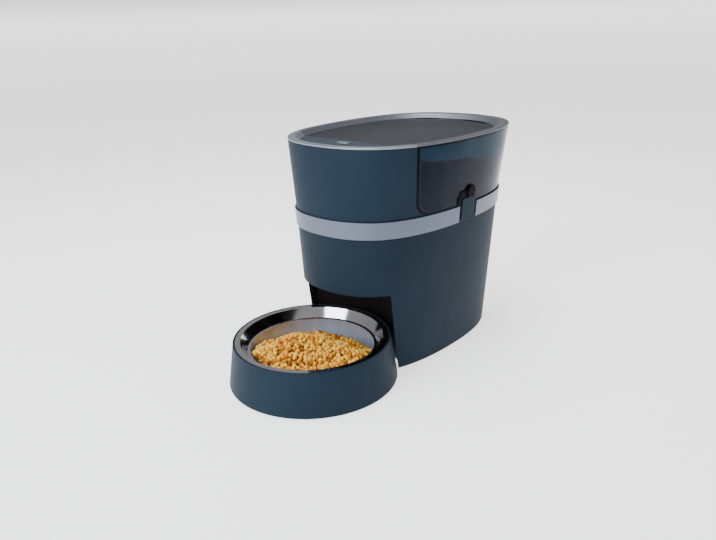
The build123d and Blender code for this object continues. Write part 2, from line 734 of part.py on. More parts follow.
with BuildPart() as lid_frame:
    add(rim_blank.part)
    split(bisect_by=rear_of_seam, keep=Keep.TOP)
    with Locations((0, hinge_y, hinge_z)):
        Cylinder(HINGE_RADIUS, HINGE_LEAF, rotation=(0, 90, 0))
        Box(HINGE_LEAF, 2 * HINGE_RADIUS, rim_shoulder - hinge_z,
            align=(Align.CENTER, Align.CENTER, Align.MIN))
        Cylinder(HINGE_PIN_RADIUS + RUNNING, HINGE_LEAF, rotation=(0, 90, 0), mode=Mode.SUBTRACT)
    with Locations((0, hinge_y + HINGE_RADIUS, rim_shoulder)):
        Box(HINGE_LEAF, 4 * HINGE_RADIUS, RIM_LIP - EDGE, align=(Align.CENTER, Align.MAX, Align.MAX))

lid_frame.part.label = "lid_frame"
export_step(lid_frame.part, "parts/lid_frame.step")

with BuildPart() as lid_window:
    extrude(opening_face(panel_bottom, FIT), amount=PANEL_THICKNESS)
    split(bisect_by=rear_of_seam, keep=Keep.TOP)

lid_window.part.label = "lid_window"
export_step(lid_window.part, "parts/lid_window.step")

with BuildPart() as lid_seal:
    with BuildSketch(Plane.XY.offset(ledge_bottom - SEAL_LIP)):
        add(oval_face(*outline_at(ledge_bottom, 2 * WALL + 2 * FIT), 0))
        add(oval_face(*outline_at(ledge_bottom, 4 * WALL - FIT), 0), mode=Mode.SUBTRACT)
    extrude(amount=groove_top - ledge_bottom + SEAL_LIP)
    split(bisect_by=rear_of_seam, keep=Keep.TOP)

lid_seal.part.label = "lid_seal"
export_step(lid_seal.part, "parts/lid_seal.step")

with BuildPart() as lid_hinge_pin:
    with Locations((0, hinge_y, hinge_z)):
        Cylinder(HINGE_PIN_RADIUS, HINGE_LEAF + 2 * HINGE_EAR, rotation=(0, 90, 0))

lid_hinge_pin.part.label = "lid_hinge_pin"
export_step(lid_hinge_pin.part, "parts/lid_hinge_pin.step")

# Control cap, feed button, its silicone dome and the board under them
button_y = body_y + BUTTON_OFFSET
cap_top = panel_top + CAP_RISE
board_z = cap_top - BOARD_DROP
board_top = board_z + BOARD_THICKNESS
board_y = button_y - BOARD_SETBACK
button_plate = panel_bottom - 2 * FIT - BUTTON_PLATE
dome_top = button_plate - FIT
post_places = [(s * POST_SPREAD, button_y - POST_SETBACK) for s in (-1, 1)]

with BuildPart() as control_cap:
    extrude(opening_face(panel_bottom, FIT), amount=cap_top - panel_bottom)
    split(bisect_by=front_of_seam, keep=Keep.TOP)
    with BuildSketch(Plane.XY.offset(panel_bottom)):
        with Locations((0, button_y)):
            SlotOverall(BUTTON_LENGTH + 2 * FIT, BUTTON_WIDTH + 2 * FIT)
    extrude(amount=PANEL_THICKNESS + CAP_RISE, mode=Mode.SUBTRACT)
    with BuildSketch(Plane.XY.offset(board_top)):
        with Locations(*post_places):
            Circle(POST_RADIUS)
    extrude(amount=panel_bottom - board_top)

control_cap.part.label = "control_cap"
export_step(control_cap.part, "parts/control_cap.step")

with BuildPart() as feed_button:
    with BuildSketch(Plane.XY.offset(button_plate)):
        with Locations((0, button_y)):
            SlotOverall(BUTTON_LENGTH + BUTTON_FLANGE, BUTTON_WIDTH + BUTTON_FLANGE)
    extrude(amount=BUTTON_PLATE)
    with BuildSketch(Plane.XY.offset(button_plate)):
        with Locations((0, button_y)):
            SlotOverall(BUTTON_LENGTH, BUTTON_WIDTH)
    extrude(amount=cap_top + BUTTON_PLATE - button_plate)
    fillet(feed_button.edges().group_by(Axis.Z)[-1], EDGE)
    with BuildSketch(Plane.XY.offset(button_plate)):
        with Locations((0, button_y)):
            Circle(BUTTON_STEM_RADIUS)
    extrude(amount=-BUTTON_STEM_LENGTH)

feed_button.part.label = "feed_button"
export_step(feed_button.part, "parts/feed_button.step")

with BuildPart() as button_dome:
    with BuildSketch(Plane(origin=(0, button_y, 0), x_dir=(1, 0, 0), z_dir=(0, -1, 0))):
        with BuildLine():
            Polyline(
                (DOME_FOOT_RADIUS - DOME_FOOT_WALL, board_top),
                (DOME_FOOT_RADIUS, board_top),
                (DOME_HEAD_RADIUS, dome_top),
                (DOME_HEAD_RADIUS - DOME_HEAD_WALL, dome_top),
                close=True,
            )
        make_face()
    revolve(axis=Axis((0, button_y, 0), (0, 0, 1)))

button_dome.part.label = "button_dome"
export_step(button_dome.part, "parts/button_dome.step")

with BuildPart() as control_board:
    with BuildSketch(Plane.XY.offset(board_z)):
        with Locations((0, board_y)):
            RectangleRounded(BOARD_LENGTH, BOARD_WIDTH, BOARD_CORNER)
    extrude(amount=BOARD_THICKNESS)
    with Locations((0, button_y, board_top)):
        Box(SWITCH_SIZE, SWITCH_SIZE, SWITCH_HEIGHT, align=(Align.CENTER, Align.CENTER, Align.MIN))
    with Locations((CHIP_SPREAD, board_y - RADIO_SETBACK, board_top)):
        Box(RADIO_WIDTH, RADIO_LENGTH, RADIO_HEIGHT, align=(Align.CENTER, Align.CENTER, Align.MIN))
    with Locations((-CHIP_SPREAD, board_y, board_top)):
        Box(CHIP_SIZE, CHIP_SIZE, CHIP_HEIGHT, align=(Align.CENTER, Align.CENTER, Align.MIN))
    with Locations(*[(x, board_y + PLUG_OFFSET, board_z) for x in (-PLUG_WIDTH, PLUG_WIDTH + 2.0)]):
        Box(PLUG_WIDTH, PLUG_LENGTH, PLUG_HEIGHT, align=(Align.CENTER, Align.CENTER, Align.MAX))

control_board.part.label = "control_board"
export_step(control_board.part, "parts/control_board.step")

# Conveyor frame: two cheeks on legs, the slider bed under the belt's top run and a tie
plate_center = belt_run / 2
with BuildPart() as conveyor_frame:
    for side in (-1, 1):
        with BuildSketch(belt_plane.offset(-side * plate_x)):
            with Locations((plate_center, 0)):
                RectangleRounded(belt_run + 2 * PLATE_OVERHANG, PLATE_HEIGHT, PLATE_CORNER)
            with Locations((0, 0), (belt_run, 0)):
                Circle(bush_radius + RUNNING, mode=Mode.SUBTRACT)
            with Locations((plate_center - SLOT_SPREAD, 0), (plate_center + SLOT_SPREAD, 0)):
                SlotOverall(SLOT_LENGTH, SLOT_WIDTH, mode=Mode.SUBTRACT)
        extrude(amount=-side * PLATE_THICKNESS)
        for place in (FRONT_LEG_OFFSET, REAR_LEG_OFFSET):
            leg_y = body_y + place
            leg_top = idler_height + (idler_y - leg_y) * tan(belt_slope) - PLATE_HEIGHT / 2 + THIN_WALL
            with Locations((side * plate_x, leg_y, base_top)):
                Box(PLATE_THICKNESS, LEG_WIDTH, leg_top - base_top,
                    align=(Align.MIN if side > 0 else Align.MAX, Align.CENTER, Align.MIN))
                Box(4 * PLATE_THICKNESS, LEG_WIDTH, PLATE_THICKNESS,
                    align=(Align.MIN if side > 0 else Align.MAX, Align.CENTER, Align.MIN))
    with BuildSketch(belt_plane):
        with Locations((plate_center, belt_inner - FIT - THIN_WALL / 2)):
            Rectangle(belt_run - 2 * ROLLER_RADIUS - BED_CLEARANCE, THIN_WALL)
        with Locations((plate_center, 0)):
            Circle(TIE_RADIUS)
    extrude(amount=plate_x, both=True)

conveyor_frame.part.label = "conveyor_frame"
export_step(conveyor_frame.part, "parts/conveyor_frame.step")

# Cleated belt: one endless strip round both rollers with evenly spaced cleats
belt_turn = pi * belt_outer
belt_length = 2 * (belt_run + belt_turn)


def cleat_place(distance):
    """Place and angle on the belt's outer face, measured from the top run's rear end."""
    if distance < belt_run:
        return Location((distance, belt_outer + CLEAT_HEIGHT / 2, 0), 0)
    if distance < belt_run + belt_turn:
        turn = (distance - belt_run) / belt_outer
        radius = belt_outer + CLEAT_HEIGHT / 2
        return Location((belt_run + radius * sin(turn), radius * cos(turn), 0), -degrees(turn))
    if distance < 2 * belt_run + belt_turn:
        return Location((2 * belt_run + belt_turn - distance, -belt_outer - CLEAT_HEIGHT / 2, 0), 180)
    turn = (distance - 2 * belt_run - belt_turn) / belt_outer
    radius = belt_outer + CLEAT_HEIGHT / 2
    return Location((-radius * sin(turn), -radius * cos(turn), 0), 180 - degrees(turn))


with BuildPart() as conveyor_belt:
    with BuildSketch(belt_plane):
        with Locations((plate_center, 0)):
            SlotCenterToCenter(belt_run, 2 * belt_outer)
            SlotCenterToCenter(belt_run, 2 * belt_inner, mode=Mode.SUBTRACT)
        with Locations(*[cleat_place((i + 0.5) * belt_length / CLEAT_COUNT) for i in range(CLEAT_COUNT)]):
            with Locations((0, -CLEAT_ROOT / 2)):
                Rectangle(CLEAT_THICKNESS, CLEAT_HEIGHT + CLEAT_ROOT)
    extrude(amount=BELT_WIDTH / 2, both=True)

conveyor_belt.part.label = "conveyor_belt"
export_step(conveyor_belt.part, "parts/conveyor_belt.step")


def roller(y, z, shaft_end):
    """Grooved roller and its shaft along X, with one end of the shaft lengthened."""
    with BuildPart() as result:
        with BuildSketch(Plane(origin=(0, y, z), x_dir=(0, 1, 0), z_dir=(1, 0, 0))):
            Circle(ROLLER_RADIUS)
            with PolarLocations(ROLLER_RADIUS, ROLLER_GROOVES):
                Circle(GROOVE_RADIUS, mode=Mode.SUBTRACT)
        extrude(amount=BELT_WIDTH / 2, both=True)
        with BuildSketch(Plane(origin=(-flange_x - SHAFT_STUB, y, z), x_dir=(0, 1, 0), z_dir=(1, 0, 0))):
            Circle(SHAFT_RADIUS)
        extrude(amount=flange_x + SHAFT_STUB + shaft_end)
    return result.part


drive_roller = roller(drive_y, drive_height, gear_x + GEAR_FACE + SHAFT_STUB)
drive_roller.label = "drive_roller"
export_step(drive_roller, "parts/drive_roller.step")

idler_roller = roller(idler_y, idler_height, flange_x + SHAFT_STUB)
idler_roller.label = "idler_roller"
export_step(idler_roller, "parts/idler_roller.step")

with BuildPart() as roller_bushings:
    for y, z in ((drive_y, drive_height), (idler_y, idler_height)):
        for side in (-1, 1):
            with BuildSketch(Plane(origin=(side * plate_x, y, z), x_dir=(0, 1, 0), z_dir=(side, 0, 0))):
                Circle(bush_radius)
                Circle(SHAFT_RADIUS + RUNNING, mode=Mode.SUBTRACT)
            extrude(amount=PLATE_THICKNESS + BUSH_FLANGE)
            outer = side * (plate_x + PLATE_THICKNESS)
            with BuildSketch(Plane(origin=(outer, y, z), x_dir=(0, 1, 0), z_dir=(side, 0, 0))):
                Circle(bush_radius + BUSH_WALL)
                Circle(SHAFT_RADIUS + RUNNING, mode=Mode.SUBTRACT)
            extrude(amount=BUSH_FLANGE)

roller_bushings.part.label = "roller_bushings"
export_step(roller_bushings.part, "parts/roller_bushings.step")

# Gear train: involute teeth, in mesh on the line between the two centres
gear_pitch = GEAR_MODULE * GEAR_TEETH / 2
pinion_pitch = GEAR_MODULE * PINION_TEETH / 2
motor_y = drive_y + gear_pitch + pinion_pitch


def involute(angle):
    """Involute function of a pressure angle in radians."""
    return tan(angle) - angle


def tooth_outline(teeth):
    """Corner points of one tooth about the +X direction, as (radius, half angle)."""
    pitch_radius = GEAR_MODULE * teeth / 2
    base_radius = pitch_radius * cos(radians(PRESSURE_ANGLE))
    root_radius = pitch_radius - (ADDENDUM + ROOT_CLEARANCE) * GEAR_MODULE
    tip_radius = pitch_radius + ADDENDUM * GEAR_MODULE
    pitch_half = pi / (2 * teeth) - BACKLASH / (2 * pitch_radius)
    points = [(root_radius - TOOTH_ROOT, pitch_half + involute(radians(PRESSURE_ANGLE)))]
    for radius in (max(base_radius, root_radius), (pitch_radius + base_radius) / 2, pitch_radius, tip_radius):
        local = acos(min(1.0, base_radius / radius))
        points.append((radius, pitch_half + involute(radians(PRESSURE_ANGLE)) - involute(local)))
    lower = [(r * cos(a), -r * sin(a)) for r, a in points]
    upper = [(r * cos(a), r * sin(a)) for r, a in reversed(points)]
    return lower + upper


def spur_gear(teeth, plane, turn):
    """Face of a spur gear on a plane, its first tooth turned by an angle in degrees."""
    with BuildSketch() as tooth:
        with BuildLine():
            Polyline(*tooth_outline(teeth), close=True)
        make_face()
    with BuildSketch(plane) as face:
        Circle(GEAR_MODULE * (teeth / 2 - ADDENDUM - ROOT_CLEARANCE))
        with PolarLocations(0, teeth, start_angle=turn):
            add(tooth.sketch)
    return face.sketch


gear_plane = Plane(origin=(gear_x, drive_y, drive_height), x_dir=(0, 1, 0), z_dir=(1, 0, 0))
pinion_plane = Plane(origin=(gear_x, motor_y, drive_height), x_dir=(0, -1, 0), z_dir=(1, 0, 0))

with BuildPart() as drive_gear:
    extrude(spur_gear(GEAR_TEETH, gear_plane, 0), amount=GEAR_FACE)
    with BuildSketch(gear_plane):
        Circle(gear_pitch - RING_TEETH * GEAR_MODULE)
        Circle(SHAFT_RADIUS + HUB_WALL, mode=Mode.SUBTRACT)
    extrude(amount=GEAR_FACE / 4, mode=Mode.SUBTRACT)
    with BuildSketch(gear_plane):
        with PolarLocations((gear_pitch + SHAFT_RADIUS) / 2, WEB_HOLES):
            Circle(WEB_HOLE_RADIUS)
    extrude(amount=GEAR_FACE, mode=Mode.SUBTRACT)
    with BuildSketch(gear_plane):
        Circle(SHAFT_RADIUS + RUNNING)
    extrude(amount=GEAR_FACE, mode=Mode.SUBTRACT)

drive_gear.part.label = "drive_gear"
export_step(drive_gear.part, "parts/drive_gear.step")

with BuildPart() as motor_pinion:
    extrude(spur_gear(PINION_TEETH, pinion_plane, 180 / PINION_TEETH), amount=GEAR_FACE)
    with BuildSketch(pinion_plane.offset(GEAR_FACE)):
        Circle(PINION_SHAFT_RADIUS)
    extrude(amount=bracket_x + THIN_WALL + MOTOR_SCREW_GRIP - gear_x - GEAR_FACE)

motor_pinion.part.label = "motor_pinion"
export_step(motor_pinion.part, "parts/motor_pinion.step")

# Gear motor on its bracket, standing off the right cheek
motor_plane = Plane(origin=(bracket_x, motor_y, drive_height), x_dir=(0, 1, 0), z_dir=(1, 0, 0))
standoff_places = [(21.0, -16.0), (21.0, 13.0), (-7.0, -17.0), (-6.0, 14.5)]
motor_screw_places = [(14.0, 17.0), (14.0, -17.0), (-13.5, 17.5)]

with BuildPart() as motor_bracket:
    with BuildSketch(motor_plane):
        with Locations((BRACKET_SHIFT, 0)):
            RectangleRounded(BRACKET_WIDTH, BRACKET_HEIGHT, BRACKET_CORNER)
        Circle(2 * PINION_SHAFT_RADIUS, mode=Mode.SUBTRACT)
        with Locations(*motor_screw_places):
            Circle(MOTOR_SCREW_RADIUS + RUNNING, mode=Mode.SUBTRACT)
    extrude(amount=THIN_WALL)
    with BuildSketch(motor_plane):
        with Locations(*standoff_places):
            Circle(STANDOFF_RADIUS)
    extrude(amount=plate_x + PLATE_THICKNESS - bracket_x)

motor_bracket.part.label = "motor_bracket"
export_step(motor_bracket.part, "parts/motor_bracket.step")

with BuildPart() as gear_motor:
    with BuildSketch(motor_plane.offset(THIN_WALL)):
        RectangleRounded(GEARBOX_WIDTH, GEARBOX_HEIGHT, CORNER)
    extrude(amount=GEARBOX_LENGTH)
    with BuildSketch(motor_plane.offset(THIN_WALL)):
        Circle(PINION_SHAFT_RADIUS + RUNNING)
        with Locations(*motor_screw_places):
            Circle(MOTOR_SCREW_RADIUS + RUNNING)
    extrude(amount=MOTOR_SCREW_GRIP + 1.0, mode=Mode.SUBTRACT)
    with BuildSketch(motor_plane.offset(THIN_WALL + GEARBOX_LENGTH)):
        Circle(MOTOR_RADIUS)
    extrude(amount=MOTOR_LENGTH)
    chamfer(gear_motor.edges().group_by(Axis.X)[-1], 1.0)
    motor_end = bracket_x + THIN_WALL + GEARBOX_LENGTH + MOTOR_LENGTH
    with Locations(*[(motor_end, motor_y, drive_height + s * TERMINAL_SPREAD) for s in (-1, 1)]):
        Box(1.8, 2.5, 0.8, align=(Align.MIN, Align.CENTER, Align.CENTER))

gear_motor.part.label = "gear_motor"
export_step(gear_motor.part, "parts/gear_motor.step")

with BuildPart() as motor_screws:
    with BuildSketch(motor_plane):
        with Locations(*motor_screw_places):
            Circle(MOTOR_SCREW_HEAD)
    extrude(amount=-MOTOR_SCREW_HEAD_HEIGHT)
    with BuildSketch(motor_plane):
        with Locations(*motor_screw_places):
            Circle(MOTOR_SCREW_RADIUS)
    extrude(amount=THIN_WALL + MOTOR_SCREW_GRIP)

motor_screws.part.label = "motor_screws"
export_step(motor_screws.part, "parts/motor_screws.step")

# Chute: carries food from the belt's end through the dock's ceiling
chute_z = ALCOVE_HEIGHT + WALL
with BuildPart() as food_chute:
    with BuildSketch(Plane.XY.offset(chute_z)):
        with Locations((0, chute_center)):
            Rectangle(2 * (CHUTE_HALF_WIDTH + THIN_WALL), chute_length + 2 * THIN_WALL)
            Rectangle(2 * CHUTE_HALF_WIDTH, chute_length, mode=Mode.SUBTRACT)
    extrude(amount=CHUTE_HEIGHT)
    with BuildSketch(Plane.XY.offset(chute_z)):
        with Locations((0, chute_center)):
            RectangleRounded(
                2 * CHUTE_HALF_WIDTH + CHUTE_FLANGE_SIDE, chute_length + CHUTE_FLANGE_END, CORNER
            )
            Rectangle(2 * CHUTE_HALF_WIDTH, chute_length, mode=Mode.SUBTRACT)
    extrude(amount=THIN_WALL)
    with Locations((0, chute_rear + THIN_WALL, chute_z + CHUTE_FLANGE_END)):
        Box(2 * CHUTE_HALF_WIDTH, 3 * THIN_WALL, CHUTE_HEIGHT, align=(Align.CENTER, Align.CENTER, Align.MIN),
            mode=Mode.SUBTRACT)

food_chute.part.label = "food_chute"
export_step(food_chute.part, "parts/food_chute.step")

with BuildPart() as chute_sensors:
    for side in (-1, 1):
        with Locations((side * (CHUTE_HALF_WIDTH + THIN_WALL), chute_center, chute_z + CHUTE_HEIGHT / 2)):
            outward = Align.MIN if side > 0 else Align.MAX
            Box(SENSOR_DEPTH, SENSOR_WIDTH, SENSOR_HEIGHT, align=(outward, Align.CENTER, Align.CENTER))
    chamfer(chute_sensors.edges().filter_by(Axis.X), 1.2)

chute_sensors.part.label = "chute_sensors"
export_step(chute_sensors.part, "parts/chute_sensors.step")

# Backup battery case with four upright cells, contacts and the rear door
cell_foot = base_top + THIN_WALL + CONTACT_SHEET
case_height = CELL_LENGTH + 2 * THIN_WALL + CASE_HEADROOM
cell_places = [(sx * CELL_PITCH / 2, case_y + sy * CELL_PITCH / 2) for sx in (-1, 1) for sy in (-1, 1)]

with BuildPart() as battery_case:
    with BuildSketch(Plane.XY.offset(base_top)):
        with Locations((0, case_y)):
            Rectangle(2 * case_half, 2 * case_half)
    extrude(amount=case_height)
    with Locations((0, case_rear, base_top + THIN_WALL)):
        Box(2 * CELL_PITCH, 2 * CELL_PITCH + THIN_WALL, case_height - 2 * THIN_WALL,
            align=(Align.CENTER, Align.MAX, Align.MIN), mode=Mode.SUBTRACT)

battery_case.part.label = "battery_case"
export_step(battery_case.part, "parts/battery_case.step")

with BuildPart() as battery_cells:
    with BuildSketch(Plane.XY.offset(cell_foot)):
        with Locations(*cell_places):
            Circle(CELL_RADIUS)
    extrude(amount=CELL_LENGTH - CELL_NUB_HEIGHT)
    with BuildSketch(Plane.XY.offset(cell_foot + CELL_LENGTH - CELL_NUB_HEIGHT)):
        with Locations(*cell_places):
            Circle(CELL_NUB_RADIUS)
    extrude(amount=CELL_NUB_HEIGHT)

battery_cells.part.label = "battery_cells"
export_step(battery_cells.part, "parts/battery_cells.step")

with BuildPart() as battery_contacts:
    with Locations(*[(s * CELL_PITCH / 2, case_y, base_top + THIN_WALL) for s in (-1, 1)]):
        Box(CONTACT_WIDTH, CELL_PITCH + CONTACT_WIDTH, CONTACT_SHEET,
            align=(Align.CENTER, Align.CENTER, Align.MIN))
    with Locations(*[(0, case_y + s * CELL_PITCH / 2, base_top + case_height - THIN_WALL) for s in (-1, 1)]):
        Box(CELL_PITCH + CONTACT_WIDTH, CONTACT_WIDTH, CASE_HEADROOM - CONTACT_SHEET,
            align=(Align.CENTER, Align.CENTER, Align.MAX))

battery_contacts.part.label = "battery_contacts"
export_step(battery_contacts.part, "parts/battery_contacts.step")

with BuildPart() as battery_door:
    add(lower_form.part)
    loft([oval(housing_bottom, WALL), oval(housing_top, WALL)], ruled=True, mode=Mode.SUBTRACT)
    with BuildSketch(Plane(origin=(0, case_rear, door_center), x_dir=(1, 0, 0), z_dir=(0, 1, 0))):
        RectangleRounded(DOOR_WIDTH, DOOR_HEIGHT, CORNER)
    extrude(amount=reach, mode=Mode.INTERSECT)
    grip_z = DOOR_FOOT + DOOR_HEIGHT - GRIP_DROP
    with Locations((0, rear_y(grip_z) + GRIP_STANDOFF, grip_z)):
        Cylinder(GRIP_RADIUS, GRIP_LENGTH, rotation=(0, 90, 0), mode=Mode.SUBTRACT)

battery_door.part.label = "battery_door"
export_step(battery_door.part, "parts/battery_door.step")

# Power inlet: a round socket flush with the rear wall, its body seated inside
with BuildPart() as power_inlet:
    with BuildSketch(Plane(origin=(0, inlet_y + FIT, INLET_HEIGHT), x_dir=(1, 0, 0), z_dir=(0, 1, 0))):
        Circle(INLET_RADIUS)
    extrude(amount=-WALL - 2 * FIT - THIN_WALL)
    with Locations((0, inlet_y - WALL - 3 * FIT, INLET_HEIGHT)):
        Box(INLET_BODY, INLET_BODY_DEPTH, INLET_BODY, align=(Align.CENTER, Align.MAX, Align.CENTER))
    with BuildSketch(Plane(origin=(0, inlet_y + FIT, INLET_HEIGHT), x_dir=(1, 0, 0), z_dir=(0, 1, 0))):
        Circle(INLET_BORE_RADIUS)
    extrude(amount=-INLET_BORE_DEPTH, mode=Mode.SUBTRACT)

power_inlet.part.label = "power_inlet"
export_step(power_inlet.part, "parts/power_inlet.step")

# Bowl tray: a tapered round shell with a lip and a seat for the steel bowl
bowl_axis = Axis((0, bowl_y, 0), (0, 0, 1))
bowl_plane = Plane(origin=(0, bowl_y, 0), x_dir=(1, 0, 0), z_dir=(0, -1, 0))
tray_taper = (TRAY_FOOT_RADIUS - TRAY_RIM_RADIUS) / TRAY_HEIGHT
seat_z = TRAY_HEIGHT - BOWL_SHEET - EDGE / 2
seat_radius = TRAY_RIM_RADIUS - TRAY_LIP
lip_outer = seat_radius - FIT
lip_inner = lip_outer - BOWL_LIP_WIDTH
tray_foot = FOOT_GAP


def tray_radius(height):
    """Outer radius of the tray at a height."""
    return TRAY_FOOT_RADIUS - tray_taper * height


with BuildPart() as bowl_tray:
    with BuildSketch(bowl_plane):
        with BuildLine():
            Polyline(
                (0, tray_foot),
                (tray_radius(tray_foot), tray_foot),
                (TRAY_RIM_RADIUS, TRAY_HEIGHT),
                (seat_radius, TRAY_HEIGHT),
                (seat_radius, seat_z),
                (lip_inner + BOWL_SHEET, seat_z),
                (lip_inner + BOWL_SHEET, seat_z - THIN_WALL),
                (tray_radius(seat_z) - WALL, seat_z - THIN_WALL - WALL),
                (tray_radius(tray_foot) - WALL, tray_foot + THIN_WALL),
                (0, tray_foot + THIN_WALL),
                close=True,
            )
        make_face()
    revolve(axis=bowl_axis)
    fillet(bowl_tray.edges().group_by(Axis.Z)[-1], EDGE)

bowl_tray.part.label = "bowl_tray"
export_step(bowl_tray.part, "parts/bowl_tray.step")

with BuildPart() as tray_pads:
    with Locations((0, bowl_y, 0)):
        with PolarLocations(TRAY_FOOT_RADIUS - PAD_INSET, PAD_COUNT, start_angle=45):
            Cylinder(PAD_RADIUS, tray_foot, align=(Align.CENTER, Align.CENTER, Align.MIN))

tray_pads.part.label = "tray_pads"
export_step(tray_pads.part, "parts/tray_pads.step")

# Steel bowl: flat lip, flared upper wall, a ledge and a rounded lower bowl, one sheet thick
bowl_top = seat_z + BOWL_SHEET
bowl_floor = bowl_top - BOWL_DEPTH
ledge_z = bowl_top - BOWL_LEDGE_DEPTH


def bowl_profile(sheet):
    """Half section of the bowl's upper face, drawn in by the sheet's thickness."""
    ledge_in = BOWL_LEDGE_RADIUS - BOWL_LEDGE_WIDTH
    with BuildSketch(bowl_plane) as profile:
        with BuildLine():
            Line((0, bowl_top), (lip_inner + sheet, bowl_top))
            Line((lip_inner + sheet, bowl_top), (BOWL_LEDGE_RADIUS + sheet, ledge_z - sheet))
            Line((BOWL_LEDGE_RADIUS + sheet, ledge_z - sheet), (ledge_in + sheet, ledge_z - sheet))
            EllipticalCenterArc(
                (BOWL_FLOOR_RADIUS, ledge_z - sheet),
                ledge_in + sheet - BOWL_FLOOR_RADIUS,
                ledge_z - bowl_floor,
                start_angle=270,
                arc_size=90,
            )
            Line((BOWL_FLOOR_RADIUS, bowl_floor - sheet), (0, bowl_floor - sheet))
            Line((0, bowl_floor - sheet), (0, bowl_top))
        make_face()
    return profile.sketch


with BuildPart() as steel_bowl:
    revolve(bowl_profile(BOWL_SHEET), axis=bowl_axis)
    with Locations((0, bowl_y, seat_z)):
        Cylinder(lip_outer, BOWL_SHEET, align=(Align.CENTER, Align.CENTER, Align.MIN))
    revolve(bowl_profile(0), axis=bowl_axis, mode=Mode.SUBTRACT)

steel_bowl.part.label = "steel_bowl"
export_step(steel_bowl.part, "parts/steel_bowl.step")
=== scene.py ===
import logging
import math
from collections.abc import Sequence
from dataclasses import dataclass, field
from enum import Enum
from typing import NamedTuple

import bmesh
import bpy
from mathutils import Matrix, Vector


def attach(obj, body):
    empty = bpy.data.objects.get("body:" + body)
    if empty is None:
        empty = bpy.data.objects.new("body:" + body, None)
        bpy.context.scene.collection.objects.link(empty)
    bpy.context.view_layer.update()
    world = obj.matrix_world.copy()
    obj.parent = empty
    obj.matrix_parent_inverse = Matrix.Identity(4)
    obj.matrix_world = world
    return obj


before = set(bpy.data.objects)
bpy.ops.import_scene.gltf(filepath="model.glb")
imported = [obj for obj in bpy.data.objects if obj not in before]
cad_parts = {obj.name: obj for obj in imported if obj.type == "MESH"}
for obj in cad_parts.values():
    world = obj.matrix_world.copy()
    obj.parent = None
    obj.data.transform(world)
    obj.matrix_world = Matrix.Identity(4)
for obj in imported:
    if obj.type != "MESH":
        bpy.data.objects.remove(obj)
log = logging.getLogger("pet_feeder")

Colour = tuple[float, float, float]
Place = tuple[float, float, float]
Socket = bpy.types.NodeSocket


class Body(str, Enum):
    """Moving bodies of the feeder that pieces ride on."""

    HOUSING = "body"
    LID = "lid"
    BOWL = "bowl"
    TRAY = "tray"


class Oval(NamedTuple):
    """Level oval of the body: its half sizes, its centre's Y and its height, in metres."""

    half_width: float
    half_length: float
    centre_y: float
    height: float


FOOT = Oval(0.0931, 0.1532, 0.05815, 0.0)
WAIST = Oval(0.1076, 0.1631, 0.0621, 0.2113)
TOP = Oval(0.1206, 0.1674, 0.06475, 0.3034)
OVAL_POWER = 2.53

# Sockets of a colour Mix node, which has several with one name
MIX_SHARE, MIX_FIRST, MIX_SECOND, MIX_RESULT = 0, 6, 7, 2


def shade(red: int, green: int, blue: int) -> Colour:
    """Turn a display colour into a linear one.

    Args:
        red: Red from 0 to 255.
        green: Green from 0 to 255.
        blue: Blue from 0 to 255.

    Returns:
        The three channels as linear values from 0 to 1.
    """
    def linear(value: int) -> float:
        """Return one channel as light."""
        share = value / 255
        return share / 12.92 if share <= 0.04045 else ((share + 0.055) / 1.055) ** 2.4

    return linear(red), linear(green), linear(blue)


def scaled(colour: Colour, factor: float) -> Colour:
    """Return a colour made lighter or darker by a factor, at most full white."""
    return tuple(min(1.0, channel * factor) for channel in colour)


